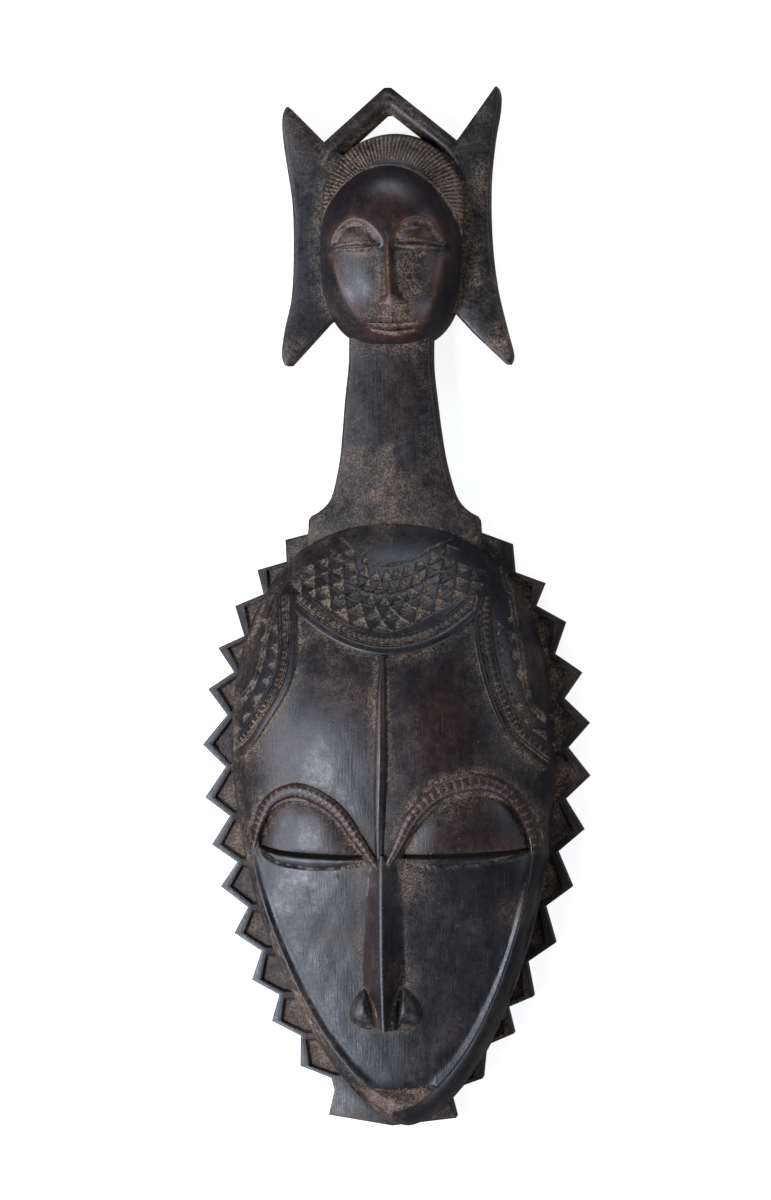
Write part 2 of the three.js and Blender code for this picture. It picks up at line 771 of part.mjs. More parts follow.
function geometryOf(solid) {
  const { vertProperties, triVerts } = solid.getMesh();
  const geometry = new THREE.BufferGeometry();
  geometry.setAttribute('position', new THREE.BufferAttribute(new Float32Array(vertProperties), 3));
  geometry.setIndex(new THREE.BufferAttribute(new Uint32Array(triVerts), 1));
  return geometry;
}

// The origin is under the middle of the mask's box, on the surface it lies on
function centred(geometry) {
  geometry.computeBoundingBox();
  const { min: low, max: high } = geometry.boundingBox;
  geometry.translate(-(low.x + high.x) / 2, -(low.y + high.y) / 2, -low.z);
  geometry.computeVertexNormals();
  return geometry;
}

const wood = new THREE.MeshStandardMaterial({ color: 0x2b2422, roughness: 0.42, metalness: 0 });
const mask = new THREE.Mesh(centred(geometryOf(maskSolid())), wood);
mask.name = 'mask';

const part = new THREE.Group();
part.add(mask);

export default part;
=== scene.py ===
# %% [markdown]
# # A carved wooden mask, lying on its back
# The mask is one block of dark wood: a long oval face with a toothed border, a neck
# and a small horned head. Here it is carved again in fine mesh, as one closed piece.
# Every form is a height over the table, worked out from a few real sizes in
# millimetres, so the whole carving can be changed by changing those sizes.

# %% Load the frame
import bpy
import bmesh
import math
import numpy as np
from mathutils import Matrix, Vector


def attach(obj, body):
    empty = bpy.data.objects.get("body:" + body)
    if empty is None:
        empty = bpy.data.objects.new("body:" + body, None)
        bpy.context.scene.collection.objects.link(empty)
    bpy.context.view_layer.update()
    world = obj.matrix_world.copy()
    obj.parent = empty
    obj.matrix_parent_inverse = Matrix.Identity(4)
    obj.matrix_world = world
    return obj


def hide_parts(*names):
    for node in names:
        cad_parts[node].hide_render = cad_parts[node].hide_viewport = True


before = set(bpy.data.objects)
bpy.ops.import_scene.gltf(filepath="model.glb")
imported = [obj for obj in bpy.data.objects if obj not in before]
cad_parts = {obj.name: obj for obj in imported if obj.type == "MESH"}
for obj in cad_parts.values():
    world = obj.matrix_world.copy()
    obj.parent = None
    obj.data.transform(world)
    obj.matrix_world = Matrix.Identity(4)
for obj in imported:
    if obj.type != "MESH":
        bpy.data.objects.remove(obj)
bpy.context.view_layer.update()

# %% [markdown]
# ## Camera
# The photograph looks straight down on the lying mask, turned a little to the right,
# from far away. A long lens gives the same flat view. The camera comes first, so that
# every later step can be judged through it. Lines are drawn from the middle of the
# photograph, and TO_FRAME carries them to the middle of the solid.

# %% Camera
TO_FRAME = Vector((0.0006254, 0.0001999, 0.0))
CAMERA_TURN = math.radians(5.0)
CAMERA_DISTANCE, SENSOR_HEIGHT, VIEW_HEIGHT = 2.4, 24.0, 0.5202
AIM_LEVEL, AIM_SHIFT_RIGHT, AIM_SHIFT_UP = 0.025, -0.00394, 0.0026

camera_right = Vector((math.cos(CAMERA_TURN), 0.0, -math.sin(CAMERA_TURN)))
camera_up = Vector((0.0, 1.0, 0.0))
camera_back = Vector((math.sin(CAMERA_TURN), 0.0, math.cos(CAMERA_TURN)))
aim = TO_FRAME + Vector((0.0, 0.0, AIM_LEVEL))
aim = aim + AIM_SHIFT_RIGHT * camera_right + AIM_SHIFT_UP * camera_up

camera_data = bpy.data.cameras.new("camera")
camera_data.sensor_fit = "VERTICAL"
camera_data.sensor_height = SENSOR_HEIGHT
camera_data.lens = SENSOR_HEIGHT * CAMERA_DISTANCE / VIEW_HEIGHT
camera_data.clip_end = 20.0
camera = bpy.data.objects.new("camera", camera_data)
turn = Matrix((camera_right, camera_up, camera_back)).transposed().to_4x4()
camera.matrix_world = Matrix.Translation(aim + CAMERA_DISTANCE * camera_back) @ turn
bpy.context.scene.collection.objects.link(camera)
bpy.context.scene.camera = camera
print("lens", round(camera_data.lens, 1), "mm")

# %% [markdown]
# ## Curves and steps
# Carving is described with a few plain tools: a smooth step, a bump, a groove, tables of
# heights, and the distance of a point along and across a drawn line. They work on
# whole arrays at once, because the finished mesh has many thousands of points.

# %% Steps and tables
def ease(start, end, value):
    """A smooth step from 0 to 1"""
    t = np.clip((value - start) / (end - start), 0.0, 1.0)
    return t * t * (3.0 - 2.0 * t)


def bump(value):
    return np.exp(-np.square(value))


def spots(x, y, *each):
    """Soft spots, each given as (amount, middle, reach)"""
    return [amount * bump((x - middle[0]) / reach[0]) * bump((y - middle[1]) / reach[1])
            for amount, middle, reach in each]


def groove(distance, half_width):
    return np.clip(1.0 - np.abs(distance) / half_width, 0.0, 1.0)


def repeated(along, pitch):
    """Distance to the nearest of many marks, one every pitch"""
    return np.mod(along + pitch / 2, pitch) - pitch / 2


def straight(table, position):
    """Height on straight lines through a table of (position, height) pairs"""
    at, height = np.array(table, dtype=float).T
    return np.interp(position, at, height)


def through(table, position):
    """The same on a smooth curve"""
    at, height = np.array(table, dtype=float).T
    number = np.arange(len(at))
    before, after = np.maximum(number - 1, 0), np.minimum(number + 1, len(at) - 1)
    slope = (height[after] - height[before]) / (at[after] - at[before])
    value = np.clip(position, at[0], at[-1])
    i = np.clip(np.searchsorted(at, value, side="right") - 1, 0, len(at) - 2)
    step = at[i + 1] - at[i]
    u = (value - at[i]) / step
    rise = u * u * (3.0 - 2.0 * u)
    bend = u * (1.0 - u) * step * ((1.0 - u) * slope[i] - u * slope[i + 1])
    return height[i] * (1.0 - rise) + height[i + 1] * rise + bend


# %% Distance along and across a drawn line
FAR = 999.0


def drawn_line(points, spacing=0.35):
    """Points of a smooth line, its directions and the length up to each point"""
    knots = np.array(points, dtype=float)
    padded = np.vstack([knots[0], knots, knots[-1]])
    pieces = []
    for k in range(len(knots) - 1):
        p0, p1, p2, p3 = padded[k:k + 4]
        count = max(int(np.hypot(*(p2 - p1)) / spacing), 2)
        t = np.linspace(0.0, 1.0, count, endpoint=False)[:, None]
        v0, v1 = (p2 - p0) / 2.0, (p3 - p1) / 2.0
        pieces.append((2 * p1 - 2 * p2 + v0 + v1) * t ** 3
                      + (-3 * p1 + 3 * p2 - 2 * v0 - v1) * t ** 2 + v0 * t + p1)
    line = np.vstack(pieces + [knots[-1:]])
    length = np.concatenate([[0.0], np.cumsum(np.hypot(*np.diff(line, axis=0).T))])
    direction = np.gradient(line, axis=0)
    return line, direction / np.hypot(*direction.T)[:, None], length


def near_parts(line, x, y, reach):
    """Numbers of the points near a line, in parts small enough for quick work"""
    low, high = line.min(axis=0) - reach, line.max(axis=0) + reach
    near = np.flatnonzero((x > low[0]) & (x < high[0]) & (y > low[1]) & (y < high[1]))
    return [part for part in np.array_split(near, max(len(near) // 4000, 1)) if len(part)]


def beside(points, x, y, reach):
    """How far each point lies along a line, across it to the left, and past its ends"""
    line, direction, length = drawn_line(points)
    along, across, past = np.zeros_like(x), np.full_like(x, FAR), np.full_like(x, FAR)
    for part in near_parts(line, x, y, reach):
        dx, dy = x[part][:, None] - line[:, 0], y[part][:, None] - line[:, 1]
        i = np.argmin(dx * dx + dy * dy, axis=1)
        ox, oy = x[part] - line[i, 0], y[part] - line[i, 1]
        along[part] = length[i] + ox * direction[i, 0] + oy * direction[i, 1]
        across[part] = direction[i, 0] * oy - direction[i, 1] * ox
        past[part] = np.maximum(np.maximum(-along[part], along[part] - length[-1]), 0.0)
    return along, across, past


def closed_loop(points):
    knots = list(points)
    line, _, _ = drawn_line(knots[-2:] + knots + knots[:3], 0.5)
    from_start = np.hypot(*(line - knots[0]).T)
    start = np.argmin(from_start)
    end = start + 10 + np.argmin(from_start[start + 10:])
    return line[start:end]


def inside_loop(points, x, y, reach):
    """Signed distance to a closed line: positive inside it"""
    loop = closed_loop(points)
    result = np.full_like(x, -FAR)
    after = np.roll(loop, -1, axis=0)
    rise = np.where(after[:, 1] == loop[:, 1], 1e-9, after[:, 1] - loop[:, 1])
    for part in near_parts(loop, x, y, reach):
        px, py = x[part][:, None], y[part][:, None]
        distance = np.sqrt(np.min((px - loop[:, 0]) ** 2 + (py - loop[:, 1]) ** 2, axis=1))
        crosses = (loop[:, 1] > py) != (after[:, 1] > py)
        at = loop[:, 0] + (py - loop[:, 1]) * (after[:, 0] - loop[:, 0]) / rise
        odd = np.sum(crosses & (px < at), axis=1) % 2 == 1
        result[part] = np.where(odd, distance, -distance)
    return result


# %% [markdown]
# ## The face
# The face is a long dome: blunt at the crown, pointed at the chin, round over the
# forehead and nearly flat over the cheeks, where a raised rim runs round it. A
# superellipse gives the outline, and the same formula read inwards gives a ring
# number, 0 in the middle and 1 on the edge, which the height follows.

# %% Outline and height of the face
BORDER_THICKNESS = 14.0
WIDEST_LEVEL = -65.0
FACE = {"half_width": 70.8, "up": 102.6, "down": 161.0, "crown": 2.3, "chin": 1.66}
LEAN_LEVEL, LEAN_OFFSET, LEAN_SLOPE = -60.0, -1.6, 0.042
SIDE_PROFILE = [(-230, 46), (-185, 47.5), (-150, 50.5), (-115, 55.5), (-85, 60),
                (-45, 62), (0, 58), (45, 50)]
FOREHEAD_ROUNDNESS, CHEEK_FALL, CHEEK_WALL = 2.5, 0.2, 60.0
CHEEK_TOP, CHEEK_FULL = -75.0, -135.0
RIM = {"ring": 0.932, "inside": 0.022, "outside": 0.03, "lift": 0.8, "bevel": 3.0}
CHEEK_DIP = {"ring": 0.9, "width": 0.022, "depth": 0.45}


def middle_at(y):
    return LEAN_OFFSET + LEAN_SLOPE * np.maximum(LEAN_LEVEL - y, 0.0)


def oval_ring(oval, across, up):
    """Ring number of a place, given from the middle of the oval"""
    reach = np.where(up > 0, oval["up"], oval["down"])
    power = np.where(up > 0, oval["crown"], oval["chin"])
    share = np.abs(across) / oval["half_width"]
    return (share ** power + (np.abs(up) / reach) ** power) ** (1.0 / power)


def ring_of(oval, x, y):
    return oval_ring(oval, x - middle_at(y), y - WIDEST_LEVEL)


def face_height(x, y):
    ring = np.minimum(ring_of(FACE, x, y), 1.0)
    cheek = 1.0 - ease(CHEEK_FULL, CHEEK_TOP, y)
    dome = np.sqrt(1.0 - ring ** FOREHEAD_ROUNDNESS)
    flat = (1.0 - CHEEK_FALL * ring ** 2) * np.sqrt(1.0 - ring ** CHEEK_WALL)
    shell = (through(SIDE_PROFILE, y) - BORDER_THICKNESS) * (dome + (flat - dome) * cheek)
    dip = CHEEK_DIP["depth"] * bump((ring - CHEEK_DIP["ring"]) / CHEEK_DIP["width"])
    beyond = ring - RIM["ring"]
    lift = RIM["lift"] * bump(beyond / np.where(beyond < 0, RIM["inside"], RIM["outside"]))
    bevel = RIM["bevel"] * np.maximum(beyond, 0.0) / (1.0 - RIM["ring"])
    return BORDER_THICKNESS + shell + cheek * (lift - bevel - dip)


def tool_marks(x, y):
    """Faint flats that the adze left under the polish"""
    broad = (np.sin(x * 0.42 + 1.7 * np.sin(y * 0.071))
             * np.sin(y * 0.19 + 1.3 * np.sin(x * 0.083)))
    fine = np.sin(x * 0.93 + 0.9 * np.sin(y * 0.23)) * np.sin(y * 0.41 + x * 0.17)
    return 0.07 * broad + 0.025 * fine


# %% [markdown]
# ## Surfaces that carry their own marks
# Each cut or ridge changes the height and, at the same time, says how much dust lies
# there and how far the wood is rubbed to red-brown. Keeping the three together means
# that the tan dust always follows the cuts, as it does on the real mask.

# %% Heights and marks of one block
class Carving:
    """Heights and surface marks of a set of points, in millimetres"""

    def __init__(self, x, y, z):
        self.x, self.y, self.z = x, y, z
        self.dust_and_painted_light, self.rub_and_painted_light = np.zeros_like(x), np.zeros_like(x)

    def add_tan(self, *amounts):
        for amount in amounts:
            self.dust_and_painted_light = np.maximum(self.dust_and_painted_light, amount)

    def add_rub(self, *amounts):
        for amount in amounts:
            self.rub_and_painted_light = np.maximum(self.rub_and_painted_light, amount)

    def cut(self, depth, mark, dust_and_painted_light=0.0):
        """Cuts where mark is over 0, and leaves dust in the cut"""
        self.z = self.z - depth * mark
        self.add_tan(dust_and_painted_light * mark)

    def dust_beside(self, line, offset, *coats):
        """Dust on both sides of a line, in coats of (width, amount)"""
        along, across, past = beside(line, self.x, self.y, offset + 4 * coats[-1][0])
        for width, amount in coats:
            self.add_tan((past < 1.0) * amount * bump((np.abs(across) - offset) / width))


# %% Grids and closed blocks
MARK_SHIFT = 1.0


def grid_mesh(columns, rows):
    """A flat grid, and the place of its points in a square from -1 to 1"""
    bm = bmesh.new()
    bmesh.ops.create_grid(bm, x_segments=columns, y_segments=rows, size=1.0)
    return bm, *places(bm)


def places(bm):
    co = np.array([v.co for v in bm.verts])
    return co[:, 0].copy(), co[:, 1].copy()


def set_places(bm, x, y, z):
    for vertex, place in zip(bm.verts, np.column_stack([x, y, z]).tolist()):
        vertex.co = place


def close_below(bm, level):
    """Draws the open border down to a level and closes the underside"""
    border = [edge for edge in bm.edges if edge.is_boundary]
    drawn = bmesh.ops.extrude_edge_only(bm, edges=border)["geom"]
    for item in drawn:
        if isinstance(item, bmesh.types.BMVert):
            item.co.z = level
    low = [item for item in drawn if isinstance(item, bmesh.types.BMEdge) and item.is_boundary]
    bmesh.ops.contextual_create(bm, geom=low)
    bmesh.ops.recalc_face_normals(bm, faces=bm.faces)


def body_of(bm, name, marks=None):
    """Turns a bmesh into an object, and keeps its dust and rub marks, which also carry some painted
    light, as attributes
    """
    many_sided = [face for face in bm.faces if len(face.verts) > 4]
    bmesh.ops.triangulate(bm, faces=many_sided, ngon_method="EAR_CLIP")
    mesh = bpy.data.meshes.new(name)
    bm.to_mesh(mesh)
    bm.free()
    for label in ("dust_and_painted_light", "rub_and_painted_light"):
        values = np.full(len(mesh.vertices), MARK_SHIFT, dtype=np.float32)
        if marks is not None:
            values[:len(marks.x)] += getattr(marks, label)
        mesh.attributes.new(label, "FLOAT", "POINT").data.foreach_set("value", values)
    body = bpy.data.objects.new(name, mesh)
    bpy.context.scene.collection.objects.link(body)
    print(name, len(mesh.polygons), "faces")
    return body


def block_of(bm, name, marks, foot):
    """A closed block with a carved top and its underside at the level of its foot"""
    set_places(bm, marks.x, marks.y, marks.z)
    close_below(bm, foot)
    return body_of(bm, name, marks)


# %% Strips laid along a drawn line
ON_FACE, ON_HEAD, ON_HAIR = 20.0, 12.0, 8.0


def strip(line, columns, rows, across):
    """A grid along a line. across(a, t) places column a sideways at share t of the length"""
    bm, a, b = grid_mesh(columns, rows)
    path, direction, length = drawn_line(line, 0.2)
    t = (b + 1) / 2
    along = t * length[-1]
    px, py, tx, ty = (np.interp(along, length, values)
                      for values in np.hstack([path, direction]).T)
    v = across(a, t)
    return bm, a, t, along, px - ty * v, py + tx * v


def raised_bar(name, line, columns, rows, half, rise, surface, foot, roundness=2.0, sunk=0.5,
               rub_and_painted_light=0.0, dust_and_painted_light=0.0):
    """A rounded bar that stands on a surface"""
    bm, a, t, along, x, y = strip(line, columns, rows, lambda a, t: a * half(t))
    section = np.clip(1.0 - np.abs(a) ** roundness, 0.0, 1.0) ** (1.0 / roundness)
    marks = Carving(x, y, surface(x, y) - sunk + (rise(t) + sunk) * section)
    marks.add_rub(rub_and_painted_light)
    marks.add_tan(dust_and_painted_light)
    return block_of(bm, name, marks, foot)


# %% [markdown]
# ## Hairline bands
# Three bands edge the hair: a scallop over the forehead and a curve down each temple.
# Each has a smooth rim, then a ladder of tiny cells between fine lines. The grid of a
# band has a column on every line and a row on every rung, so the cuts stay sharp.

# %% Bands
BANDS = [
    {"line": [(-43, -1.5), (-40, -3.9), (-29.8, -11.2), (-16.4, -18), (-1.3, -21),
              (13.7, -18.8), (26.2, -13.3), (36, -5.6), (39.5, -2.5)],
     "side": 1, "rim": 3.7, "cuts": (4.1, 5.1, 7.3, 8.4)},
    {"line": [(-41.5, 5), (-41.1, 0.4), (-39.9, -17.2), (-41.3, -28.8), (-45.2, -38.6),
              (-52.5, -49.9), (-61.2, -61.3), (-73.5, -69.4)],
     "side": -1, "rim": 3.2, "cuts": (3.6, 4.5, 6.6, 7.8)},
    {"line": [(36.6, 4), (36, -3.9), (37.2, -17.1), (40.4, -30.8), (44.6, -43.2), (50, -54.4),
              (57.8, -62.3), (66, -69.5)],
     "side": 1, "rim": 1.9, "cuts": (2.3, 3.6, 6.2, 7.6)},
]
RUNG_PITCH, ROWS_A_RUNG = 2.8, 4
CUT_HALF_WIDTH, CUT_DEPTH, RUNG_DEPTH = 0.42, 0.6, 0.45
BAND_RISE, RIM_RISE, BAND_START, BAND_EDGE = 0.75, 0.55, -0.6, 1.0


def band_block(band):
    rim, cuts = band["rim"], band["cuts"]
    columns = [BAND_START, cuts[-1] + BAND_EDGE]
    columns += [rim * share for share in (0.0, 0.1, 0.28, 0.5, 0.72, 0.9, 1.0)]
    columns += [cut + shift for cut in cuts for shift in (-CUT_HALF_WIDTH, 0.0, CUT_HALF_WIDTH)]
    columns = sorted(columns)
    places_of_columns = np.linspace(-1, 1, len(columns))
    line = band["line"][::band["side"]]
    rows = ROWS_A_RUNG * round(drawn_line(line)[2][-1] / RUNG_PITCH)
    bm, a, t, along, x, y = strip(line, len(columns) - 1, rows,
                                  lambda a, t: np.interp(a, places_of_columns, columns))
    v = np.interp(a, places_of_columns, columns)
    height = BAND_RISE * ease(BAND_START, 0.1, v) * (1 - 0.6 * ease(rim, columns[-1], v))
    height = height + RIM_RISE * np.sqrt(np.clip(1 - (2 * v / rim - 1) ** 2, 0, 1))
    marks = Carving(x, y, face_height(x, y) + height)
    for cut in cuts:
        marks.cut(CUT_DEPTH, groove(v - cut, CUT_HALF_WIDTH), 1.1)
    between = (v > cuts[1] + 0.1) & (v < cuts[2] - 0.1)
    marks.cut(RUNG_DEPTH, between * groove(repeated(along, RUNG_PITCH), 0.5), 1.0)
    marks.add_tan(0.4 * bump((v - BAND_START) / 0.5))
    sunk = np.minimum(marks.z, BORDER_THICKNESS - 1.0)
    marks.z = np.where(ring_of(FACE, x, y) > 0.975, sunk, marks.z)
    return block_of(bm, "band", marks, 10.0)


def from_band(band, x, y, reach):
    """Place along a band, out from its line to the hair, and past its ends"""
    along, across, past = beside(band["line"], x, y, reach)
    return along, band["side"] * across, past


def mark_bands(carving):
    """Dust under the bands, and which points lie on a band"""
    taken = np.zeros(len(carving.x), dtype=bool)
    for band in BANDS:
        along, v, past = from_band(band, carving.x, carving.y, 14.0)
        on = (past < 0.4) & (np.abs(v) < 50)
        below = np.minimum(v, 0)
        shade = 0.62 * np.exp(below / 0.9) + 0.25 * np.exp(below / 4.0)
        carving.add_tan((on & (v < 0)) * shade)
        taken |= on & (v > -0.5) & (v < band["cuts"][-1] + BAND_EDGE)
    return taken


# %% [markdown]
# ## Chip carving
# The hair is a field of three-sided chips. A carver sets them in rows that follow the
# scallop, each chip cut deep along its base and running out at its point. The rows
# are worked out as a slanted grid, so one formula cuts them all: the point of a chip
# leans towards the nearer temple, and the rows above start from the points below.

# %% Chips on the crown
CHIP_FOOT = [(-48, 14.5), (-41.5, 6.2), (-31.3, 0.8), (-24.6, -3.1), (-14.9, -8.2),
             (-3.9, -11.3), (8.3, -8.4), (15.1, -4.9), (23.3, -0.3), (30, 3), (40, 9.5), (46, 15)]
CROWN_LINES = [
    [(-24, 29.9), (-15.3, 23.3), (-8, 18.5), (-1, 17.7), (8.7, 20.3), (17.3, 25.5), (24.8, 29)],
    [(-27.5, 24.3), (-19, 18.1), (-11.2, 12.9), (-3.5, 11.2), (5.7, 12.7), (14.3, 17.8),
     (21.6, 23.6)],
    [(-31, 18.6), (-22.6, 12.9), (-14.4, 7.3), (-6, 4.7), (3, 5.2), (10.6, 7.7), (18.1, 12.9),
     (25.6, 18.1)],
]
CHIP_ROW, CHIP_DEPTH = 5.45, 1.2
CHIP_PITCH = [(-44, 5.9), (-24, 7.4), (-8, 9.6), (6, 9.6), (22, 7.6), (40, 6.2)]


def carve_crown(carving, taken):
    x, y = carving.x, carving.y
    grid = np.linspace(-60, 60, 241)
    count = np.cumsum(0.5 / straight(CHIP_PITCH, grid))
    u = np.interp(x, grid, count) - np.interp(-5.0, grid, count) + 0.38
    run = straight(CHIP_PITCH, x)
    lean = 0.5 - 0.42 * np.tanh((x + 1.0) / 14.0)
    row_height = (y - through(CHIP_FOOT, x)) / CHIP_ROW
    row = np.floor(row_height)
    b = row_height - row
    a = np.mod(u - row * lean, 1.0)
    to_side = np.minimum(a - b * lean, (1.0 - a) - b * (1.0 - lean)) * run
    depth = np.clip(to_side / 0.45, 0.0, 1.0) * np.clip(b / 0.07, 0.0, 1.0) * (1.0 - 0.75 * b)
    centre_x = x - (a - 0.33 - 0.33 * lean) * run
    centre_y = through(CHIP_FOOT, centre_x) + (row + 0.35) * CHIP_ROW
    top = np.where(np.abs(centre_x) > 24, 60.0, straight(CROWN_LINES[0], centre_x))
    shown = (row >= 0) & (centre_y < np.minimum(top - 1.6, 33.0 - 0.012 * centre_x ** 2))
    shown &= (centre_x > -46) & (centre_x < 47) & ~taken
    faint = 1.0 - 0.6 * ease(28, 38, centre_x) - 0.3 * ease(12, 26, centre_y)
    depth = shown * depth * np.clip(faint, 0.2, 1.0)
    carving.cut(CHIP_DEPTH, depth)
    carving.add_tan((depth > 0.05) * (0.4 + 0.6 * b) * np.clip(faint, 0.4, 1.0))
    for line in CROWN_LINES:
        along, across, past = beside(line, x, y, 3.0)
        carving.cut(0.45, groove(across, 0.5) * (past < 0.3), 0.85)


# %% Chips down the temples
SWATHS = [
    [(46, 18), (49, 8), (50.1, 7.4), (55, -17.2), (58.4, -37.6), (63.7, -46.5), (69.4, -48.2)],
    [(-50, 4), (-54.5, -13), (-59.1, -31.9), (-72.2, -45)],
]
TEMPLE_CHIP_PITCH = 9.6
TEMPLE_ROWS = [{"from": 0.0, "shift": 0.5, "height": 3.2, "width": 0.92},
               {"from": 5.4, "shift": 0.0, "height": 3.4, "width": 0.72}]


def carve_temples(carving, taken):
    for band in BANDS[1:]:
        along, out, past = from_band(band, carving.x, carving.y, 24.0)
        v = out - band["cuts"][-1] - 0.8
        free = (past < 0.3) & (np.abs(out) < 40) & (along > 9.0) & ~taken
        for row in TEMPLE_ROWS:
            w = (v - row["from"]) / row["height"]
            a = repeated(along / TEMPLE_CHIP_PITCH + row["shift"], 1.0)
            to_side = (0.5 * row["width"] * (1.0 - w) - np.abs(a)) * TEMPLE_CHIP_PITCH
            inside = np.clip(to_side / 0.5, 0.0, 1.0) * np.clip(w / 0.1, 0.0, 1.0)
            chip = np.where(free & (w > 0) & (w < 1), inside * (1.0 - 0.6 * w), 0.0)
            carving.cut(1.0, chip)
            carving.add_tan(0.5 * np.minimum(chip * 2.0, 1.0))
    for line in SWATHS:
        along, across, past = beside(line, carving.x, carving.y, 4.0)
        for shift in (-0.75, 0.75):
            carving.cut(0.3, groove(across - shift, 0.5) * (past < 0.3), 0.4)


# %% [markdown]
# ## Brows, lids, nose and mouth
# The brows are raised cords with small ticks across them. Under each one the eye is
# sunk: a full upper lid, an open slit to see through, and a thin lower lid. The nose
# is a sharp wedge with a bright edge, and the mouth is a shallow hollow at the chin.

# %% Brows
BROW_RISE, BROW_SUNK, ROWS_A_TICK = 2.4, 0.4, 6
BROWS = [
    {"line": [(-60.2, -104.3), (-57, -93), (-51.5, -83.6), (-41, -79.1), (-30.3, -81.9),
              (-20.7, -88.9), (-12.9, -100), (-4.6, -112.5)],
     "widths": [(0, 1.2), (0.2, 2.8), (0.45, 3.6), (0.75, 3.0), (1, 1.7)],
     "eye": 1, "tick": 2.7, "cut": 0.22},
    {"line": [(61.4, -106.2), (60.4, -96.6), (55.6, -85.7), (47.8, -78), (37.7, -75.4),
              (26.8, -77.5), (17.5, -82.8), (9.5, -92), (3.6, -103.8), (-2.0, -113.5)],
     "widths": [(0, 1.2), (0.2, 3.0), (0.45, 4.1), (0.75, 3.3), (1, 1.7)],
     "eye": -1, "tick": 3.5, "cut": 0.34},
]


def brow_block(brow):
    rows = ROWS_A_TICK * round(drawn_line(brow["line"])[2][-1] / brow["tick"])
    bm, a, t, along, x, y = strip(brow["line"], 10, rows,
                                  lambda a, t: a * straight(brow["widths"], t))
    u = brow["eye"] * a
    section = np.clip(1.0 - np.abs(u) ** 2.2, 0.0, 1.0) ** 0.6
    height = (BROW_RISE * ease(-0.05, 0.12, t) + BROW_SUNK) * section
    marks = Carving(x, y, face_height(x, y) - BROW_SUNK + height)
    tick = groove(repeated(along, brow["tick"]), 0.5)
    marks.cut(brow["cut"], tick * ease(-0.8, -0.45, u) * (1.0 - ease(0.5, 0.85, u)), 0.85)
    marks.add_rub(np.where(u > -0.9, 0.7, 0.3))
    return block_of(bm, "brow", marks, ON_FACE)


# %% Lids and the slits between them
EYES = [
    {"slit": [(-55.9, -104), (-48, -105.6), (-40.3, -106.4), (-26, -107.3), (-11.7, -107.9)],
     "arc": [(-57.2, -103), (-53.5, -91), (-44, -84.2), (-32, -85), (-22.5, -92),
             (-14.5, -103), (-10.2, -110.2)],
     "under": [(-22, -112.4), (-34.7, -112.7), (-49.8, -110.2)]},
    {"slit": [(6.4, -107.4), (20, -106.9), (33.3, -106.4), (47, -105.7), (59, -104.9)],
     "arc": [(5.4, -108.6), (9.4, -98.5), (18.5, -88.6), (28.5, -82.6), (39, -80.6),
             (49.5, -83.6), (57, -93), (60, -105.6)],
     "under": [(45, -109.8), (33.3, -111), (18, -111.9)]},
]
LID_EDGE_SINK, LID_MIDDLE_SINK = 3.2, 0.3
LOWER_LID_SINK, LOWER_LID_BEAD = 1.0, 1.7


def inside_eye(eye, x, y):
    return inside_loop(eye["arc"] + eye["under"], x, y, 5.0)


def carve_eyes(carving):
    x, y = carving.x, carving.y
    for eye in EYES:
        inside = inside_eye(eye, x, y)
        along, across, past = beside(eye["arc"], x, y, 30.0)
        from_arc = np.minimum(np.hypot(across, past), 60.0)
        level = straight(eye["slit"], x)
        foot = straight(sorted([eye["arc"][0], eye["arc"][-1]] + eye["under"]), x)
        above = ease(-0.25, 0.25, y - level)
        bulge = 1.0 - np.exp(-np.maximum(from_arc - 0.6, 0.0) / 6.5)
        upper = LID_EDGE_SINK - (LID_EDGE_SINK - LID_MIDDLE_SINK) * bulge
        upper = upper + 0.6 * np.exp(-np.clip(y - level, 0.0, 20.0) / 0.9)
        share = np.clip((level - y) / np.maximum(level - foot, 1.0), 0.0, 1.0)
        lower = LOWER_LID_SINK - LOWER_LID_BEAD * np.sqrt(np.sin(np.pi * share))
        on = above * ease(-0.1, 0.6, inside) + (1.0 - above) * ease(-0.8, 0.9, inside)
        carving.cut(1.0, on * (above * upper + (1.0 - above) * lower))
        arc_side = above * (inside > -1.5)
        carving.add_tan(arc_side * 0.75 * bump((inside - 0.5) / 0.8),
                         arc_side * (inside > 0) * 0.32 * np.exp(-np.clip(inside, 0, 30) / 3.5),
                         (1 - above) * 0.22 * bump((inside + 0.3) / 0.7))
        carving.add_rub(on * above * (0.25 + 0.4 * bump((y - level - 2) / 5)))


# %% The ridge down the forehead
RIDGE = [(-2.3, -21.2), (-2.6, -45), (-2.8, -65.7), (-3.6, -90), (-3.9, -111.5)]


def ridge_block():
    return raised_bar("ridge", RIDGE, 10, 80,
                      lambda t: 0.8 + 2.3 * np.sin(np.pi * np.minimum(0.04 + t * 0.86, 1.0)) ** 0.8,
                      lambda t: 0.9 + 2.1 * np.sin(np.pi * np.minimum(0.12 + 0.8 * t, 1.0)),
                      face_height, ON_FACE, roundness=1.6, rub_and_painted_light=0.35)


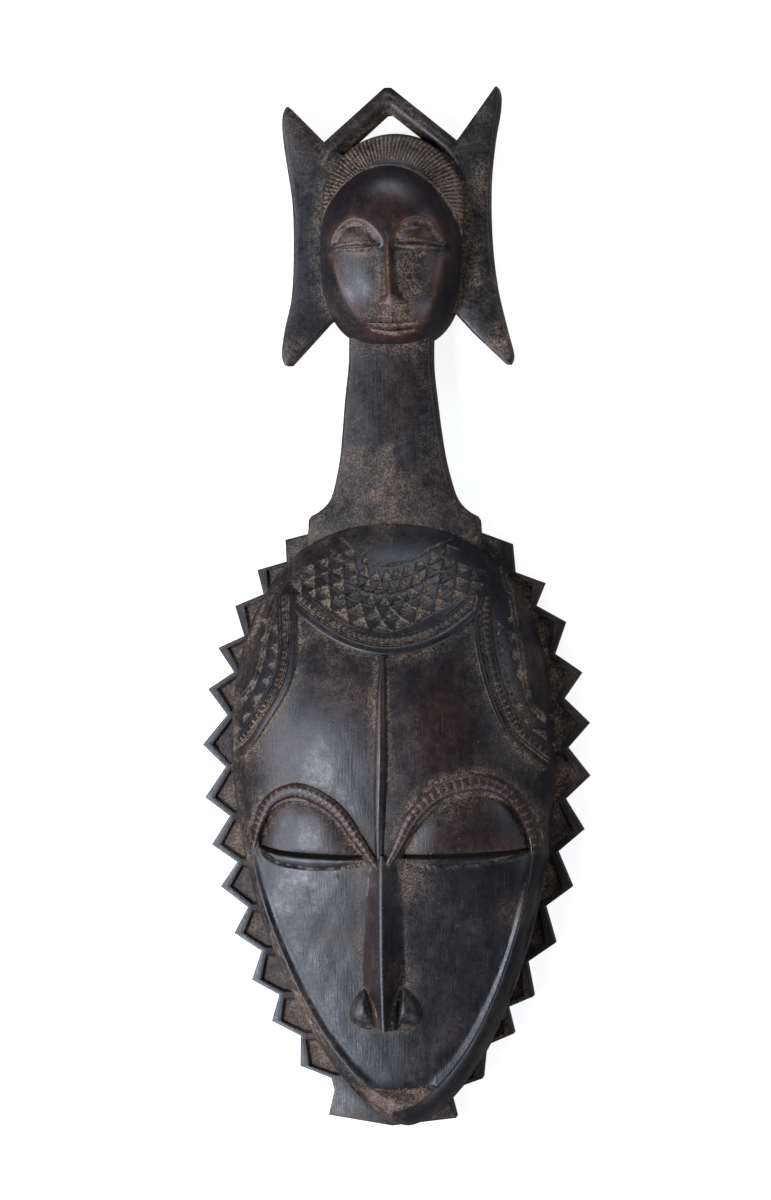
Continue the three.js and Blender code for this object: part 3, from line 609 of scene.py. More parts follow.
# %% Nose
NOSE_LINE = [(-2.9, -107), (-3.0, -125), (-2.9, -150), (-2.5, -166), (-1.9, -182.2)]
NOSE_LEFT = [(0, 2.0), (0.05, 5.6), (0.14, 6.9), (0.45, 8.6), (0.74, 9.6), (0.86, 8.4),
             (1, 7.4)]
NOSE_RIGHT = [(0, 2.5), (0.05, 8.2), (0.14, 9.8), (0.45, 10.2), (0.72, 10.0), (0.86, 8.2),
              (1, 7.0)]
NOSE_RISE = [(0, 2.6), (0.1, 4.4), (0.3, 7.4), (0.6, 11.0), (0.9, 14.0), (1, 14.2)]
NOSE_SUNK, NOSE_COLUMNS = 1.6, 30
CREST_HALF_WIDTH, CREST_TILT = 0.62, 0.22
WINGS = [
    [(-11.4, -164.4), (-15.8, -168.8), (-18.2, -175.0), (-17.2, -179.2), (-12.6, -181.8),
     (-5.6, -182.5), (-5.2, -176.6), (-7.8, -169.6)],
    [(5.4, -163.6), (10.2, -167.8), (13.2, -174.0), (12.8, -178.8), (8.8, -181.6),
     (1.8, -182.5), (1.4, -176), (2.8, -169.2)],
]
WING_RISE, WING_SUNK = 6.0, 1.0


def across_at(line, y):
    """Sideways place of a line that runs down the mask"""
    return straight([(-py, px) for px, py in line], -y)


def nose_width(a, t):
    return np.where(a > 0, straight(NOSE_RIGHT, t), straight(NOSE_LEFT, t))


def nose_block():
    """A wedge with two columns of the grid on each half of its narrow crest"""
    bm, a, t, along, x, y = strip(NOSE_LINE, NOSE_COLUMNS, 96, lambda a, t: a * nose_width(a, t))
    width = nose_width(a, t)
    crest = CREST_HALF_WIDTH / width
    column = np.abs(a) * NOSE_COLUMNS / 2
    further = np.maximum(column - 2, 0.0) / (NOSE_COLUMNS / 2 - 2)
    beyond = crest + (1.0 - crest) * further ** 1.15
    placed = np.sign(a) * np.where(column < 2.5, crest * column / 2, beyond)
    x = x + (placed - a) * width
    a = placed
    slope = 1.0 - np.maximum(np.abs(a) - crest, 0.0) - 0.05 * np.sin(np.pi * np.abs(a))
    on_crest = np.clip(a * width, -CREST_HALF_WIDTH, CREST_HALF_WIDTH)
    fall = CREST_TILT * (CREST_HALF_WIDTH - on_crest)
    foot = face_height(across_at(NOSE_LINE, y), y) - NOSE_SUNK
    marks = Carving(x, y, foot + (straight(NOSE_RISE, t) + NOSE_SUNK) * slope - fall)
    for wing in WINGS:
        at_wing = bump(inside_loop(wing, x, y, 4.0) / 0.7)
        marks.cut(0.5, at_wing)
        marks.add_tan(0.7 * at_wing * (y > -182.0))
    marks.add_tan(0.34 * bump((a - 0.92) / 0.12),
                   0.5 * bump((y + 182.1) / 0.8) * (np.abs(a) > 0.12))
    marks.add_rub(0.5 * bump((a + 0.7) / 0.4))
    return block_of(bm, "nose", marks, ON_FACE)


def to_disc(a, b):
    """Square to disc: rings of the square become circles"""
    wide = np.abs(a) >= np.abs(b)
    safe_a = np.where(np.abs(a) < 1e-12, 1e-12, a)
    safe_b = np.where(np.abs(b) < 1e-12, 1e-12, b)
    angle = np.where(wide, (np.pi / 4) * (b / safe_a), np.pi / 2 - (np.pi / 4) * (a / safe_b))
    r = np.where(wide, a, b)
    return r * np.cos(angle), r * np.sin(angle)


def wing_block(outline):
    """A rounded cushion inside a closed outline"""
    bm, a, b = grid_mesh(24, 24)
    dx, dy = to_disc(a, b)
    ring, angle = np.minimum(np.hypot(dx, dy), 1.0), np.arctan2(dy, dx)
    loop = closed_loop(outline)
    middle = loop.mean(axis=0)
    away = loop - middle
    turn = np.arctan2(away[:, 1], away[:, 0])
    order = np.argsort(turn)
    out = ring * np.interp(angle, turn[order], np.hypot(*away.T)[order], period=2 * np.pi)
    x, y = middle[0] + out * np.cos(angle), middle[1] + out * np.sin(angle)
    height = (WING_RISE + WING_SUNK) * (1.0 - ring ** 2.2) ** 0.6
    marks = Carving(x, y, face_height(x, y) - WING_SUNK + height)
    # Tan along the foot of each wing. The even tan over the whole wing is painted light: more on
    # the left wing than on the right, so the left wing looks lit.
    marks.add_tan(0.45 * bump((y + 181.2) / 1.5) + np.where(x < 0, 0.2, 0.08))
    return block_of(bm, "wing", marks, ON_FACE)


# %% Mouth
MOUTH_TOP = [(-18.3, -207.6), (-9, -207.9), (0.6, -208.6), (10, -207.9), (19.1, -206.8)]
MOUTH = MOUTH_TOP + [(9.5, -214.5), (-0.5, -217.4), (-9.2, -214.8)]
MOUTH_TOP_DEPTH, MOUTH_FOOT_DEPTH = 3.0, 1.0
WORN_SPOT = (-1.0, -214.4)


def carve_mouth(carving):
    x, y = carving.x, carving.y
    inside = inside_loop(MOUTH, x, y, 6.0)
    below = straight(MOUTH_TOP, x) - y
    share = np.clip(below / 9.0, 0.0, 1.0)
    on = ease(-0.1, 0.55, inside)
    carving.cut(1.0, on * (MOUTH_TOP_DEPTH + (MOUTH_FOOT_DEPTH - MOUTH_TOP_DEPTH) * share))
    ledge = (below < 0) & (np.abs(x - 0.4) < 18.5)
    carving.cut(0.9, ledge * np.exp(-np.clip(-below, 0, 30) / 1.3))
    carving.add_tan(0.32 * on, 0.6 * bump((inside - 0.3) / 0.5) * (inside > -2),
                     *spots(x, y, (0.95, WORN_SPOT, (2.0, 2.0))))
    carving.add_rub(1.2 * on, *spots(x, y, (1.6, WORN_SPOT, (2.6, 2.6))))


# %% All the carving of the face itself, in the order a carver would go
def carve_face(x, y):
    carving = Carving(x, y, face_height(x, y) + tool_marks(x, y))
    taken = mark_bands(carving)
    carve_crown(carving, taken)
    carve_temples(carving, taken)
    carve_eyes(carving)
    carve_mouth(carving)
    for brow in BROWS:
        carving.dust_beside(brow["line"], 3.9, (0.8, 0.5), (2.6, 0.2))
    carving.dust_beside(RIDGE, 2.4, (0.9, 0.55), (3.2, 0.22))
    carving.dust_beside(NOSE_LINE[:-1], 10.0, (1.4, 0.4), (4.0, 0.16))
    carving.add_tan(0.5 * bump((y + 183.3) / 0.7) * (np.abs(x - NOSE_LINE[-1][0]) < 12),
                     sum(spots(x, y, (0.2, (-12, -118), (9, 7)), (0.25, (9, -120), (10, 9)))))
    carving.add_rub(*spots(x, y, (0.55, (22, -52), (16, 22)), (0.25, (-20, -45), (18, 25))))
    return carving


# %% [markdown]
# ## A grid that follows an outline
# A plain square grid would meet the oval edge in steps. Here a square grid is pressed
# into a disc, so that its rings run round the outline, and the disc is stretched over
# the form. Fine carving gets a finer grid. Then the border is drawn down and closed,
# which makes a solid block.

# %% The face block
FACE_COLUMNS, FACE_ROWS = 112, 204


def ring_grid(oval, a, b, tighten):
    """Ring number of each point, and its outline's place across and up from the middle"""
    dx, dy = to_disc(a, b)
    ring = np.hypot(dx, dy)
    cosine = np.where(ring > 1e-9, dx / np.maximum(ring, 1e-9), 1.0)
    sine = np.where(ring > 1e-9, dy / np.maximum(ring, 1e-9), 0.0)
    power = np.where(sine > 0, oval["crown"], oval["chin"])
    size = (np.abs(cosine) ** power + np.abs(sine) ** power) ** (-1.0 / power)
    reach = np.where(sine > 0, oval["up"], oval["down"])
    ring = 1.0 - (1.0 - np.minimum(ring, 1.0)) ** tighten
    return ring, size * oval["half_width"] * cosine, size * reach * sine


def oval_place(oval, a, b, tighten=1.3):
    """A place in the square becomes a place in the leaning oval of the face"""
    ring, across, up = ring_grid(oval, a, b, tighten)
    centre = middle_at(WIDEST_LEVEL)
    lean = centre + (middle_at(WIDEST_LEVEL + up) - centre) * ring
    return lean + ring * across, WIDEST_LEVEL + ring * up


def needs_detail(x, y):
    """True where fine carving needs a finer grid"""
    ring = ring_of(FACE, x, y)
    detail = (y > straight(BANDS[0]["line"], x) + 7.0) & (np.abs(x) < 48) & (y < 36)
    for band in BANDS[1:]:
        along, v, past = from_band(band, x, y, 24.0)
        detail |= (past < 1.0) & (v > 7.0) & (v < 20.0)
    for eye in EYES:
        inside = inside_eye(eye, x, y)
        detail |= (np.abs(inside) < 2.2) | ((inside > -1) & (y < straight(eye["slit"], x) + 2.5))
    detail |= (np.abs(ring - 0.942) < 0.036) & (y < -95)
    detail |= inside_loop(MOUTH, x, y, 5.0) > -2.5
    return detail & (ring < 0.99)


block, a, b = grid_mesh(FACE_COLUMNS, FACE_ROWS)
x, y = oval_place(FACE, a, b)
set_places(block, x, y, np.zeros_like(x))
block.faces.ensure_lookup_table()
middles = np.array([face.calc_center_median() for face in block.faces])
wanted = needs_detail(middles[:, 0], middles[:, 1])
edges = {edge for face, want in zip(block.faces, wanted) if want for edge in face.edges}
bmesh.ops.subdivide_edges(block, edges=list(edges), cuts=1, use_grid_fill=True)
face_block = block_of(block, "face", carve_face(*places(block)), 2.0)
face_parts = [band_block(band) for band in BANDS] + [brow_block(brow) for brow in BROWS]
face_parts += [ridge_block(), nose_block()] + [wing_block(wing) for wing in WINGS]

# %% [markdown]
# ## The toothed border
# The border is a flat plate with a saw-tooth edge. Its outline comes from two ovals, one
# through the tips and one through the valleys. Each tooth is then sunk inside a narrow
# rim, with sloping sides, which is where the brown dust has gathered.

# %% Outline of the teeth
TIP_OVAL = {"half_width": 84.6, "up": 112.0, "down": 165.0, "crown": 2.1, "chin": 1.75}
VALLEY_OVAL = {"half_width": 74.7, "up": 107.0, "down": 158.0, "crown": 2.1, "chin": 1.75}
LEFT_TIPS = [28.9, 15.7, 0, -18.3, -36.3, -60.5, -83.6, -104.2, -122.5, -142.8, -163.2,
             -181.1, -200.6]
LEFT_VALLEYS = [19.4, 5.2, -13.1, -28.8, -47.6, -70.3, -91.7, -111.8, -131.6, -150.6, -169.7,
                -187.5, -205.8]
RIGHT_TIPS = [27.1, 10, -7, -29, -51, -74, -97.4, -122.2, -146.6, -169.8, -186, -205.6]
RIGHT_VALLEYS = [14.8, 0.2, -20.9, -40.3, -61.8, -84.2, -107.1, -130.9, -155, -174.7, -191.3,
                 -211]
BORDER_MIDDLE = -0.5
FOOT_HALF_WIDTH, FOOT_LEVEL = 36.5, 32.0
CHIN_TOOTH = [(-27.3, -211), (-29.8, -221.9), (-2, -226.4), (25.8, -222.9)]


def on_oval(oval, side, y):
    v = y - WIDEST_LEVEL
    reach, power = (oval["up"], oval["crown"]) if v > 0 else (oval["down"], oval["chin"])
    half = oval["half_width"] * max(1.0 - (abs(v) / reach) ** power, 0.0) ** (1.0 / power)
    return BORDER_MIDDLE + side * half, y


def teeth_of(side, tips, valleys):
    return [(on_oval(TIP_OVAL, side, tip), on_oval(VALLEY_OVAL, side, valley))
            for tip, valley in zip(tips, valleys)]


left_teeth = teeth_of(-1, LEFT_TIPS, LEFT_VALLEYS)
right_teeth = teeth_of(1, RIGHT_TIPS, RIGHT_VALLEYS)
border_outline = [(-FOOT_HALF_WIDTH, FOOT_LEVEL)]
border_outline += [corner for tooth in left_teeth for corner in tooth] + CHIN_TOOTH
border_outline += [corner for tooth in reversed(right_teeth) for corner in reversed(tooth)]
border_outline.append((FOOT_HALF_WIDTH, FOOT_LEVEL))
print(len(left_teeth) + len(right_teeth), "side teeth")


# %% The plate and its sunken panels
BORDER_BEVEL = 0.9
PANEL_DEPTH, PANEL_REACH, PANEL_SLOPE, PANEL_FOOT = 2.2, 9.0, 0.16, 1.4
TOOTH_RIM = 2.3


def border_plate():
    """The outline drawn up to a plate, with its upper edge rounded"""
    bm = bmesh.new()
    floor = bm.faces.new([bm.verts.new((px, py, 0.0)) for px, py in border_outline])
    drawn = bmesh.ops.extrude_face_region(bm, geom=[floor])["geom"]
    raised = [item for item in drawn if isinstance(item, bmesh.types.BMVert)]
    bmesh.ops.translate(bm, verts=raised, vec=(0, 0, BORDER_THICKNESS))
    bmesh.ops.recalc_face_normals(bm, faces=bm.faces)
    top = [edge for edge in bm.edges if all(v.co.z > BORDER_THICKNESS - 1e-4 for v in edge.verts)]
    bmesh.ops.bevel(bm, geom=top, offset=BORDER_BEVEL, offset_type="OFFSET", segments=2,
                    profile=0.5, affect="EDGES", clamp_overlap=True, material=-1)
    return body_of(bm, "border_block")


def panel_cutters(name, teeth, side):
    """A five-sided block over each tooth, narrower at the panel's floor"""
    bm = bmesh.new()
    floors = []
    for (tip, valley), (_, before) in zip(teeth[1:], teeth):
        corner = (tip[0] - side * 1.75 * TOOTH_RIM, tip[1])
        upper = (before[0] - side * TOOTH_RIM * 0.9, before[1] - 0.55 * TOOTH_RIM)
        lower = (valley[0] - side * TOOTH_RIM * 0.9, valley[1] + 0.55 * TOOTH_RIM)
        points = [corner, upper, (upper[0] - side * PANEL_REACH, upper[1]),
                  (lower[0] - side * PANEL_REACH, lower[1]), lower]
        centre = ((before[0] + valley[0]) / 2 - side * 3, (before[1] + valley[1]) / 2)
        levels = []
        for shrink, z in ((PANEL_SLOPE, BORDER_THICKNESS - PANEL_DEPTH), (0, BORDER_THICKNESS),
                          (0, BORDER_THICKNESS + 3)):
            shrunk = [(px + (centre[0] - px) * shrink, py + (centre[1] - py) * shrink)
                      for px, py in points]
            levels.append([bm.verts.new((px, py, z)) for px, py in shrunk])
        for low, high in zip(levels, levels[1:]):
            for k in range(len(points)):
                after = (k + 1) % len(points)
                bm.faces.new((low[k], low[after], high[after], high[k]))
        floors.append(bm.faces.new(levels[0]))
        bm.faces.new(levels[-1])
    bmesh.ops.inset_individual(bm, faces=floors, thickness=PANEL_FOOT)
    bmesh.ops.recalc_face_normals(bm, faces=bm.faces)
    return body_of(bm, name)


border_block = border_plate()
left_panels = panel_cutters("left_panels", left_teeth, -1)
right_panels = panel_cutters("right_panels", right_teeth, 1)

# %% [markdown]
# ## Neck and horns
# Both are flat slabs with rounded edges. A grid is stretched between a left and a right
# edge, level by level, and rounded where it nears them.

# %% Slabs between two edges
NECK_THICKNESS, HORN_THICKNESS = 22.0, 16.0
NECK_MIDDLES = [(24, -0.9), (45, -1.2), (60, -1.7), (90, -2.6), (118, -2.5)]
NECK_WIDTHS = [(24, 38.4), (33, 37.2), (38.6, 36.4), (41, 32.4), (44, 29), (48, 26.6), (54, 24.8),
               (64, 22.6), (77, 20.9), (88, 19.8), (104, 18.1), (118, 17.9)]
LEFT_HORN_OUTER = [(105, -49), (107, -50), (111, -50.4), (121, -49), (134, -46.2),
                   (154, -45.2), (176, -45.8), (192, -48.2), (205, -50), (212.4, -50.2),
                   (216, -49.4), (217.6, -48.4)]
LEFT_HORN_INNER = [(105, -46.8), (125.1, -28.4), (130, -14), (190, -14), (202.6, -32.3),
                   (217.6, -47.2)]
RIGHT_HORN_OUTER = [(105.4, 49.4), (107, 50.2), (109.8, 50.5), (121, 47.6), (139, 43.4),
                    (160, 41), (184, 40.6), (203, 42.4), (216, 44.6), (223, 44.9), (225.8, 44)]
RIGHT_HORN_INNER = [(105.4, 47.4), (118.6, 33.4), (127.9, 24.9), (130, 12), (190, 12),
                    (202.3, 26), (225.8, 42.8)]
# Middle and reach of the small head's foot, round which dust gathers
HEAD_FOOT = {"middle": (-2.2, 158.0), "reach": (31.2, 42.0)}


def slab(name, low, high, left, right, thickness, radius, columns, rows, crown):
    bm, a, b = grid_mesh(columns, rows)
    y = low + (high - low) * (b + 1) / 2
    a = np.sin(a * np.pi / 2) * 0.6 + a * 0.4
    half = (right(y) - left(y)) / 2
    x = left(y) + half * (a + 1)
    inset = np.minimum(half * (1 - np.abs(a)), np.minimum(y - low, high - y) + 0.3 * half)
    w = np.clip(1.0 - inset / np.maximum(np.minimum(radius, half), 1e-6), 0.0, 1.0)
    z = thickness - radius * (1.0 - np.sqrt(1.0 - w ** 2)) + tool_marks(x, y) - 0.1
    marks = Carving(x, y, z - crown * np.minimum(half / 10.0, 1.0) * np.abs(a) ** 2)
    (head_x, head_y), (reach_x, reach_y) = HEAD_FOOT["middle"], HEAD_FOOT["reach"]
    beside_head = np.hypot((x - head_x) / reach_x, (y - head_y) / reach_y)
    marks.add_tan(0.5 * bump((beside_head - 1.02) / 0.16) * (y > 112),
                   0.34 * bump(inset / 0.8) * (y > 105),
                   np.where(y > 118, np.where(x > 0, 0.12, 0.05), 0.07),
                   0.3 * bump((y - 112) / 5) * (y < 118) + 0.2 * bump((y - 28) / 5) * (y < 60),
                   sum(spots(x, y, (0.55, (34, 146), (5, 12)), (0.55, (37, 186), (4, 9)),
                             (0.4, (-30, 196), (4, 6)), (0.3, (-44, 112), (4, 5)))))
    marks.add_rub(*spots(x, y, ((y < 118) * 0.5, (-1, 92), (9, 16))))
    return block_of(bm, name, marks, 0.0)


neck_block = slab("neck", 24, 118,
                  lambda y: through(NECK_MIDDLES, y) - through(NECK_WIDTHS, y),
                  lambda y: through(NECK_MIDDLES, y) + through(NECK_WIDTHS, y),
                  NECK_THICKNESS, 1.8, 30, 56, 1.4)
left_horn = slab("left_horn", 105, 217.6, lambda y: through(LEFT_HORN_OUTER, y),
                 lambda y: straight(LEFT_HORN_INNER, y), HORN_THICKNESS, 1.7, 22, 60, 0.8)
right_horn = slab("right_horn", 105.4, 225.8, lambda y: straight(RIGHT_HORN_INNER, y),
                  lambda y: through(RIGHT_HORN_OUTER, y), HORN_THICKNESS, 1.7, 22, 60, 0.8)

# %% [markdown]
# ## The small head
# The head is an egg set on the neck. Its face is cut back flat below the eyes, and the
# eyes are sunk under two arches, so that the brow runs straight into the nose. A collar
# of hair, ribbed with fine grooves, stands behind it, and a thin cord marks the hairline.

# %% Head
HEAD = {"middle": -2.2, "level": 158.0, "half_width": 31.2, "up": 37.4, "down": 45.6,
        "crown": 2.0, "chin": 2.8, "base": 12.0, "front": 49.0}
HEAD_COLUMNS, HEAD_ROWS = 86, 104
HEAD_FACE = [(-25.4, 154.6), (-14, 154.0), (-1, 154.0), (11, 154.6), (22.3, 154.4),
             (20.3, 142.5), (17.4, 133.4), (13.5, 125), (9.2, 118.6), (0.4, 116.4),
             (-8.1, 118.4), (-11.8, 123.6), (-16.7, 130.1), (-21.2, 138.6), (-24, 147)]
SOCKETS = [
    {"ball": (-14.6, 158.4),
     "outline": [(-25.4, 155), (-23.9, 160.6), (-19.9, 164.4), (-15.4, 165.9), (-9.6, 163.6),
                 (-5.8, 159.4), (-4.2, 154.8), (-14.5, 154.2)]},
    {"ball": (11.4, 159.0),
     "outline": [(1.2, 155.2), (2.1, 160.0), (4.5, 164.4), (8.9, 166.9), (13.5, 167.2),
                 (17.4, 165.4), (20, 161.8), (22.3, 155), (12, 154.6)]},
]


def head_height(x, y):
    ring = np.minimum(oval_ring(HEAD, x - HEAD["middle"], y - HEAD["level"]), 1.0)
    return HEAD["base"] + (HEAD["front"] - HEAD["base"]) * np.sqrt(1.0 - ring ** 3.1)


def carve_head(x, y):
    carving = Carving(x, y, head_height(x, y) + 0.6 * tool_marks(x * 1.6, y * 1.6))
    inside = inside_loop(HEAD_FACE, x, y, 8.0)
    depth = ease(-2.6, 3.2, inside) * (0.8 + 1.2 * ease(124, 150, y))
    carving.add_rub(1.5 * bump((inside - 0.3) / 2.2) * (inside > -8) * (y < 152))
    for socket in SOCKETS:
        ball_x, ball_y = socket["ball"]
        inwards = inside_loop(socket["outline"], x, y, 6.0)
        ball = np.clip(1.0 - ((x - ball_x) / 9.0) ** 2 - ((y - ball_y) / 4.6) ** 2, 0.0, 1.0)
        depth = np.maximum(depth, ease(-0.9, 2.2, inwards) * (2.5 - 1.7 * np.sqrt(ball)))
        carving.add_tan(bump((inwards - 1.6) / 0.9) * (y > 157) * (inwards > -2),
                         0.12 * ease(0.0, 2.0, inwards),
                         *spots(x, y, (0.75, (ball_x, 151.4), (8.5, 1.7))))
        carving.add_rub(1.6 * bump((inwards + 0.8) / 1.8) * (y > 156) * (inwards > -8),
                        0.9 * ease(0.0, 2.0, inwards))
    carving.cut(1.0, depth)
    carving.add_tan(0.45 * bump((np.abs(x + 0.4) - 5.0) / 1.8) * (y > 131) * (y < 153),
                     np.where(x < -1, 0.16, 0.27) * ease(1.0, 5.0, inside) * (y > 126) * (y < 152),
                     *spots(x, y, (0.35, (0.4, 125), (11, 4))))
    carving.add_rub(*spots(x, y, (1.1, (-1.2, 166), (6, 8)), (0.7, (-1.5, 173), (15, 9)),
                           (1.0, (0.4, 124), (11, 6))))
    return carving


bm, a, b = grid_mesh(HEAD_COLUMNS, HEAD_ROWS)
ring, across, up = ring_grid(HEAD, a, b, 1.25)
head_marks = carve_head(HEAD["middle"] + ring * across, HEAD["level"] + ring * up)
head_block = block_of(bm, "head", head_marks, 1.0)

# %% Nose, lids and lips of the small head
SMALL_NOSE_LINE = [(-1.2, 170), (-1.0, 158), (-0.5, 145), (0.3, 129.6)]
SMALL_NOSE_WIDTHS = [(0, 3.0), (0.3, 3.2), (0.6, 2.9), (0.88, 3.2), (0.92, 6.4), (1, 7.6)]
SMALL_NOSE_RISE = [(0, -1.2), (0.2, -0.1), (0.5, 2.2), (1, 5.2)]
LIDS = [
    [(-25.0, 155.2), (-15.5, 156.2), (-5.0, 156.0)],
    [(-24.4, 153.5), (-15.5, 153.1), (-5.4, 154.0)],
    [(1.6, 156.6), (11.6, 157.4), (22.0, 155.8)],
    [(1.8, 154.6), (11.6, 154.4), (21.8, 154.0)],
]
LIPS = [
    [(-10.4, 121.9), (0.4, 121.2), (11.4, 122.2)],
    [(-9.6, 119.6), (0.4, 117.9), (10.4, 119.4)],
]


def small_nose_block():
    bm, a, t, along, x, y = strip(SMALL_NOSE_LINE, 16, 60,
                                  lambda a, t: a * straight(SMALL_NOSE_WIDTHS, t))
    rise = straight(SMALL_NOSE_RISE, t)
    fall = (rise + 1.6 + 2.8 * ease(0.1, 0.4, t)) * np.abs(a) ** (1.4 + 0.5 * ease(0.86, 0.95, t))
    marks = Carving(x, y, head_height(across_at(SMALL_NOSE_LINE, y), y) + rise - fall)
    marks.add_rub(1.1 + 0.5 * bump(a / 0.4))
    marks.add_tan(0.35 * bump(a / 0.16) * (t > 0.3) + 0.5 * bump((t - 0.985) / 0.02))
    return block_of(bm, "small_nose", marks, ON_HEAD)


def small_bar(name, line, columns, dust_and_painted_light, half, rise):
    return raised_bar(name, line, columns, 30, half, rise, lambda x, y: carve_head(x, y).z,
                      ON_HEAD, rub_and_painted_light=1.2, dust_and_painted_light=dust_and_painted_light)


small_parts = [small_nose_block()]
small_parts += [small_bar("small_lid", line, 6, 0.62, lambda t: 0.5 + 0.5 * np.sin(np.pi * t),
                          lambda t: 0.4 + 1.0 * np.sin(np.pi * t)) for line in LIDS]
small_parts += [small_bar("small_lip", line, 8, 0.6, lambda t: 0.3 + 0.8 * np.sin(np.pi * t) ** 0.7,
                          lambda t: 0.3 + 1.5 * np.sin(np.pi * t) ** 0.7) for line in LIPS]

# %% Hair and hairline
HAIR = {"middle": -1.2, "level": 174.0, "radius": 32.0, "nape": 1.35, "base": 10.0,
        "front": 34.0}
RIBS = {"count": 66, "from": -24.0, "to": 204.0, "radius": 25.2, "half_width": 6.2,
        "depth": 1.7}


def from_hair_middle(x, y):
    """Distance in the round of the hair, which is stretched towards the nape"""
    down = np.where(y > HAIR["level"], 1.0, HAIR["nape"])
    return np.hypot(x - HAIR["middle"], (y - HAIR["level"]) / down)


def hair_height(x, y):
    ring = np.minimum(from_hair_middle(x, y) / HAIR["radius"], 1.0)
    return HAIR["base"] + (HAIR["front"] - HAIR["base"]) * np.sqrt(1.0 - ring ** 3)


bm, a, b = grid_mesh(64, 64)
dx, dy = to_disc(a, b)
x = HAIR["middle"] + HAIR["radius"] * dx
y = HAIR["level"] + HAIR["radius"] * dy * np.where(dy > 0, 1.0, HAIR["nape"])
hair_marks = Carving(x, y, hair_height(x, y))
hair_marks.add_tan(0.1)
hair_block = block_of(bm, "hair", hair_marks, 1.0)


def rib_block():
    """The ribbed part of the collar, with five rows of grid to a rib"""
    turns = np.radians(np.linspace(RIBS["to"], RIBS["from"], 20))
    up = np.sin(turns) * np.where(np.sin(turns) > 0, 1.0, HAIR["nape"])
    line = np.column_stack([HAIR["middle"] + RIBS["radius"] * np.cos(turns),
                            HAIR["level"] + RIBS["radius"] * up])
    bm, a, t, along, x, y = strip(line, 8, 5 * RIBS["count"],
                                  lambda a, t: a * RIBS["half_width"])
    between = groove(repeated(t * RIBS["count"], 1.0), 0.5)
    ends = ease(0.0, 0.25, 1.0 - np.abs(a))
    marks = Carving(x, y, hair_height(x, y) - 0.2 + (1.3 - RIBS["depth"] * between) * ends)
    # Tan on the crests of the ribs, none in the grooves: the crests read lighter and the grooves
    # darker.
    marks.add_tan(1.7 * (1.0 - between) ** 1.2)
    return block_of(bm, "ribs", marks, ON_HAIR)


def hairline_points():
    """Where the brow of the head meets the hair, from the left temple to the right one"""
    points = []
    share = np.linspace(0.75, 1.0, 101)
    for turn in np.radians(np.linspace(176, 4, 24)):
        x = HEAD["middle"] + share * HEAD["half_width"] * math.cos(turn)
        y = HEAD["level"] + share * HEAD["up"] * math.sin(turn)
        under = np.flatnonzero(head_height(x, y) < hair_height(x, y) + 1.6)
        k = under[0] if len(under) else 100
        points.append((x[k], y[k]))
    return points


small_parts.append(rib_block())
small_parts.append(raised_bar("hairline", hairline_points(), 6, 110, lambda t: 0.85, lambda t: 2.2,
                              hair_height, ON_HAIR, sunk=0.8, rub_and_painted_light=0.6, dust_and_painted_light=0.8))

# %% [markdown]
# ## The peaked loop
# Two arms rise from the horns and meet in a point above the head. Their front is
# rounded, so a strip of grid is laid along the two arms and raised down its middle.
# Each arm sinks into its horn at the end.

# %% Loop
LOOP_OUTER = [(-38.6, 188.0), (-31.7, 202.7), (-5.7, 226.0), (-2.7, 226.0), (27.1, 202.0),
              (34.0, 189.0)]
LOOP_INNER = [(-33.0, 185.6), (-24.0, 196.8), (-4.8, 214.2), (-2.8, 214.4), (18.9, 197.1),
              (27.6, 186.6)]
LOOP_BOTTOM, LOOP_TOP = 2.0, 17.0

bm, a, b = grid_mesh(12, 60)
corner = np.arange(len(LOOP_OUTER))
outer_x, outer_y, inner_x, inner_y = (np.interp((b + 1) / 2 * corner[-1], corner, values)
                                      for values in np.hstack([LOOP_OUTER, LOOP_INNER]).T)
w = (a + 1) / 2
x, y = inner_x + (outer_x - inner_x) * w, inner_y + (outer_y - inner_y) * w
end = 1.0 - ease(0.0, 0.42, 1.0 - np.abs(b))
loop_marks = Carving(x, y, LOOP_TOP - 5.0 * np.abs(a) ** 2.4 - 1.6 * end)
loop_marks.add_tan(0.45 * bump((1.0 - np.abs(b)) / 0.3) + 0.5 * bump((a + 1) / 0.35),
                    0.3 * bump((x - 9) / 12) * (a > -0.5))
loop_block = block_of(bm, "loop", loop_marks, LOOP_BOTTOM)

# %% [markdown]
# ## The hollow back and the eye slits
# The back is scooped out to an even wall, so the mask is light and can be worn. The
# slits go right through, on a slant, so that one sees wood in them from above. Both
# are cut with blocks, as a gouge and a knife would.

# %% Cutting blocks
WALL, CROWN_WALL = 9.5, 17.5
HOLLOW = dict(FACE, half_width=FACE["half_width"] - WALL, up=FACE["up"] - CROWN_WALL,
              down=FACE["down"] - WALL)
HOLLOW_RIM, HOLLOW_ARCH, SCOOP_DEPTH = 12.0, 60.0, 0.35
SLIT_WIDTH, SLIT_SLANT, SLIT_SUNK = 2.16, -0.29, 1.5
SLIT_TOP, SLIT_FOOT = 90.0, 20.0

bm, a, b = grid_mesh(40, 64)
x, y = oval_place(HOLLOW, a, b, 1.5)
ring = np.minimum(ring_of(HOLLOW, x, y), 1.0)
arch = HOLLOW_RIM + HOLLOW_ARCH * np.sqrt(1.0 - ring ** 5)
roof = np.minimum(face_height(x, y) - WALL, arch)
scoop = (SCOOP_DEPTH * np.sin(x * 0.9 + 0.4 * np.sin(y * 0.21))
         * np.sin(y * 0.35 + 0.6 * np.sin(x * 0.13)))
hollow_marks = Carving(x, y, roof - SCOOP_DEPTH + scoop * (ring < 0.93))
hollow_block = block_of(bm, "hollow_block", hollow_marks, -5.0)


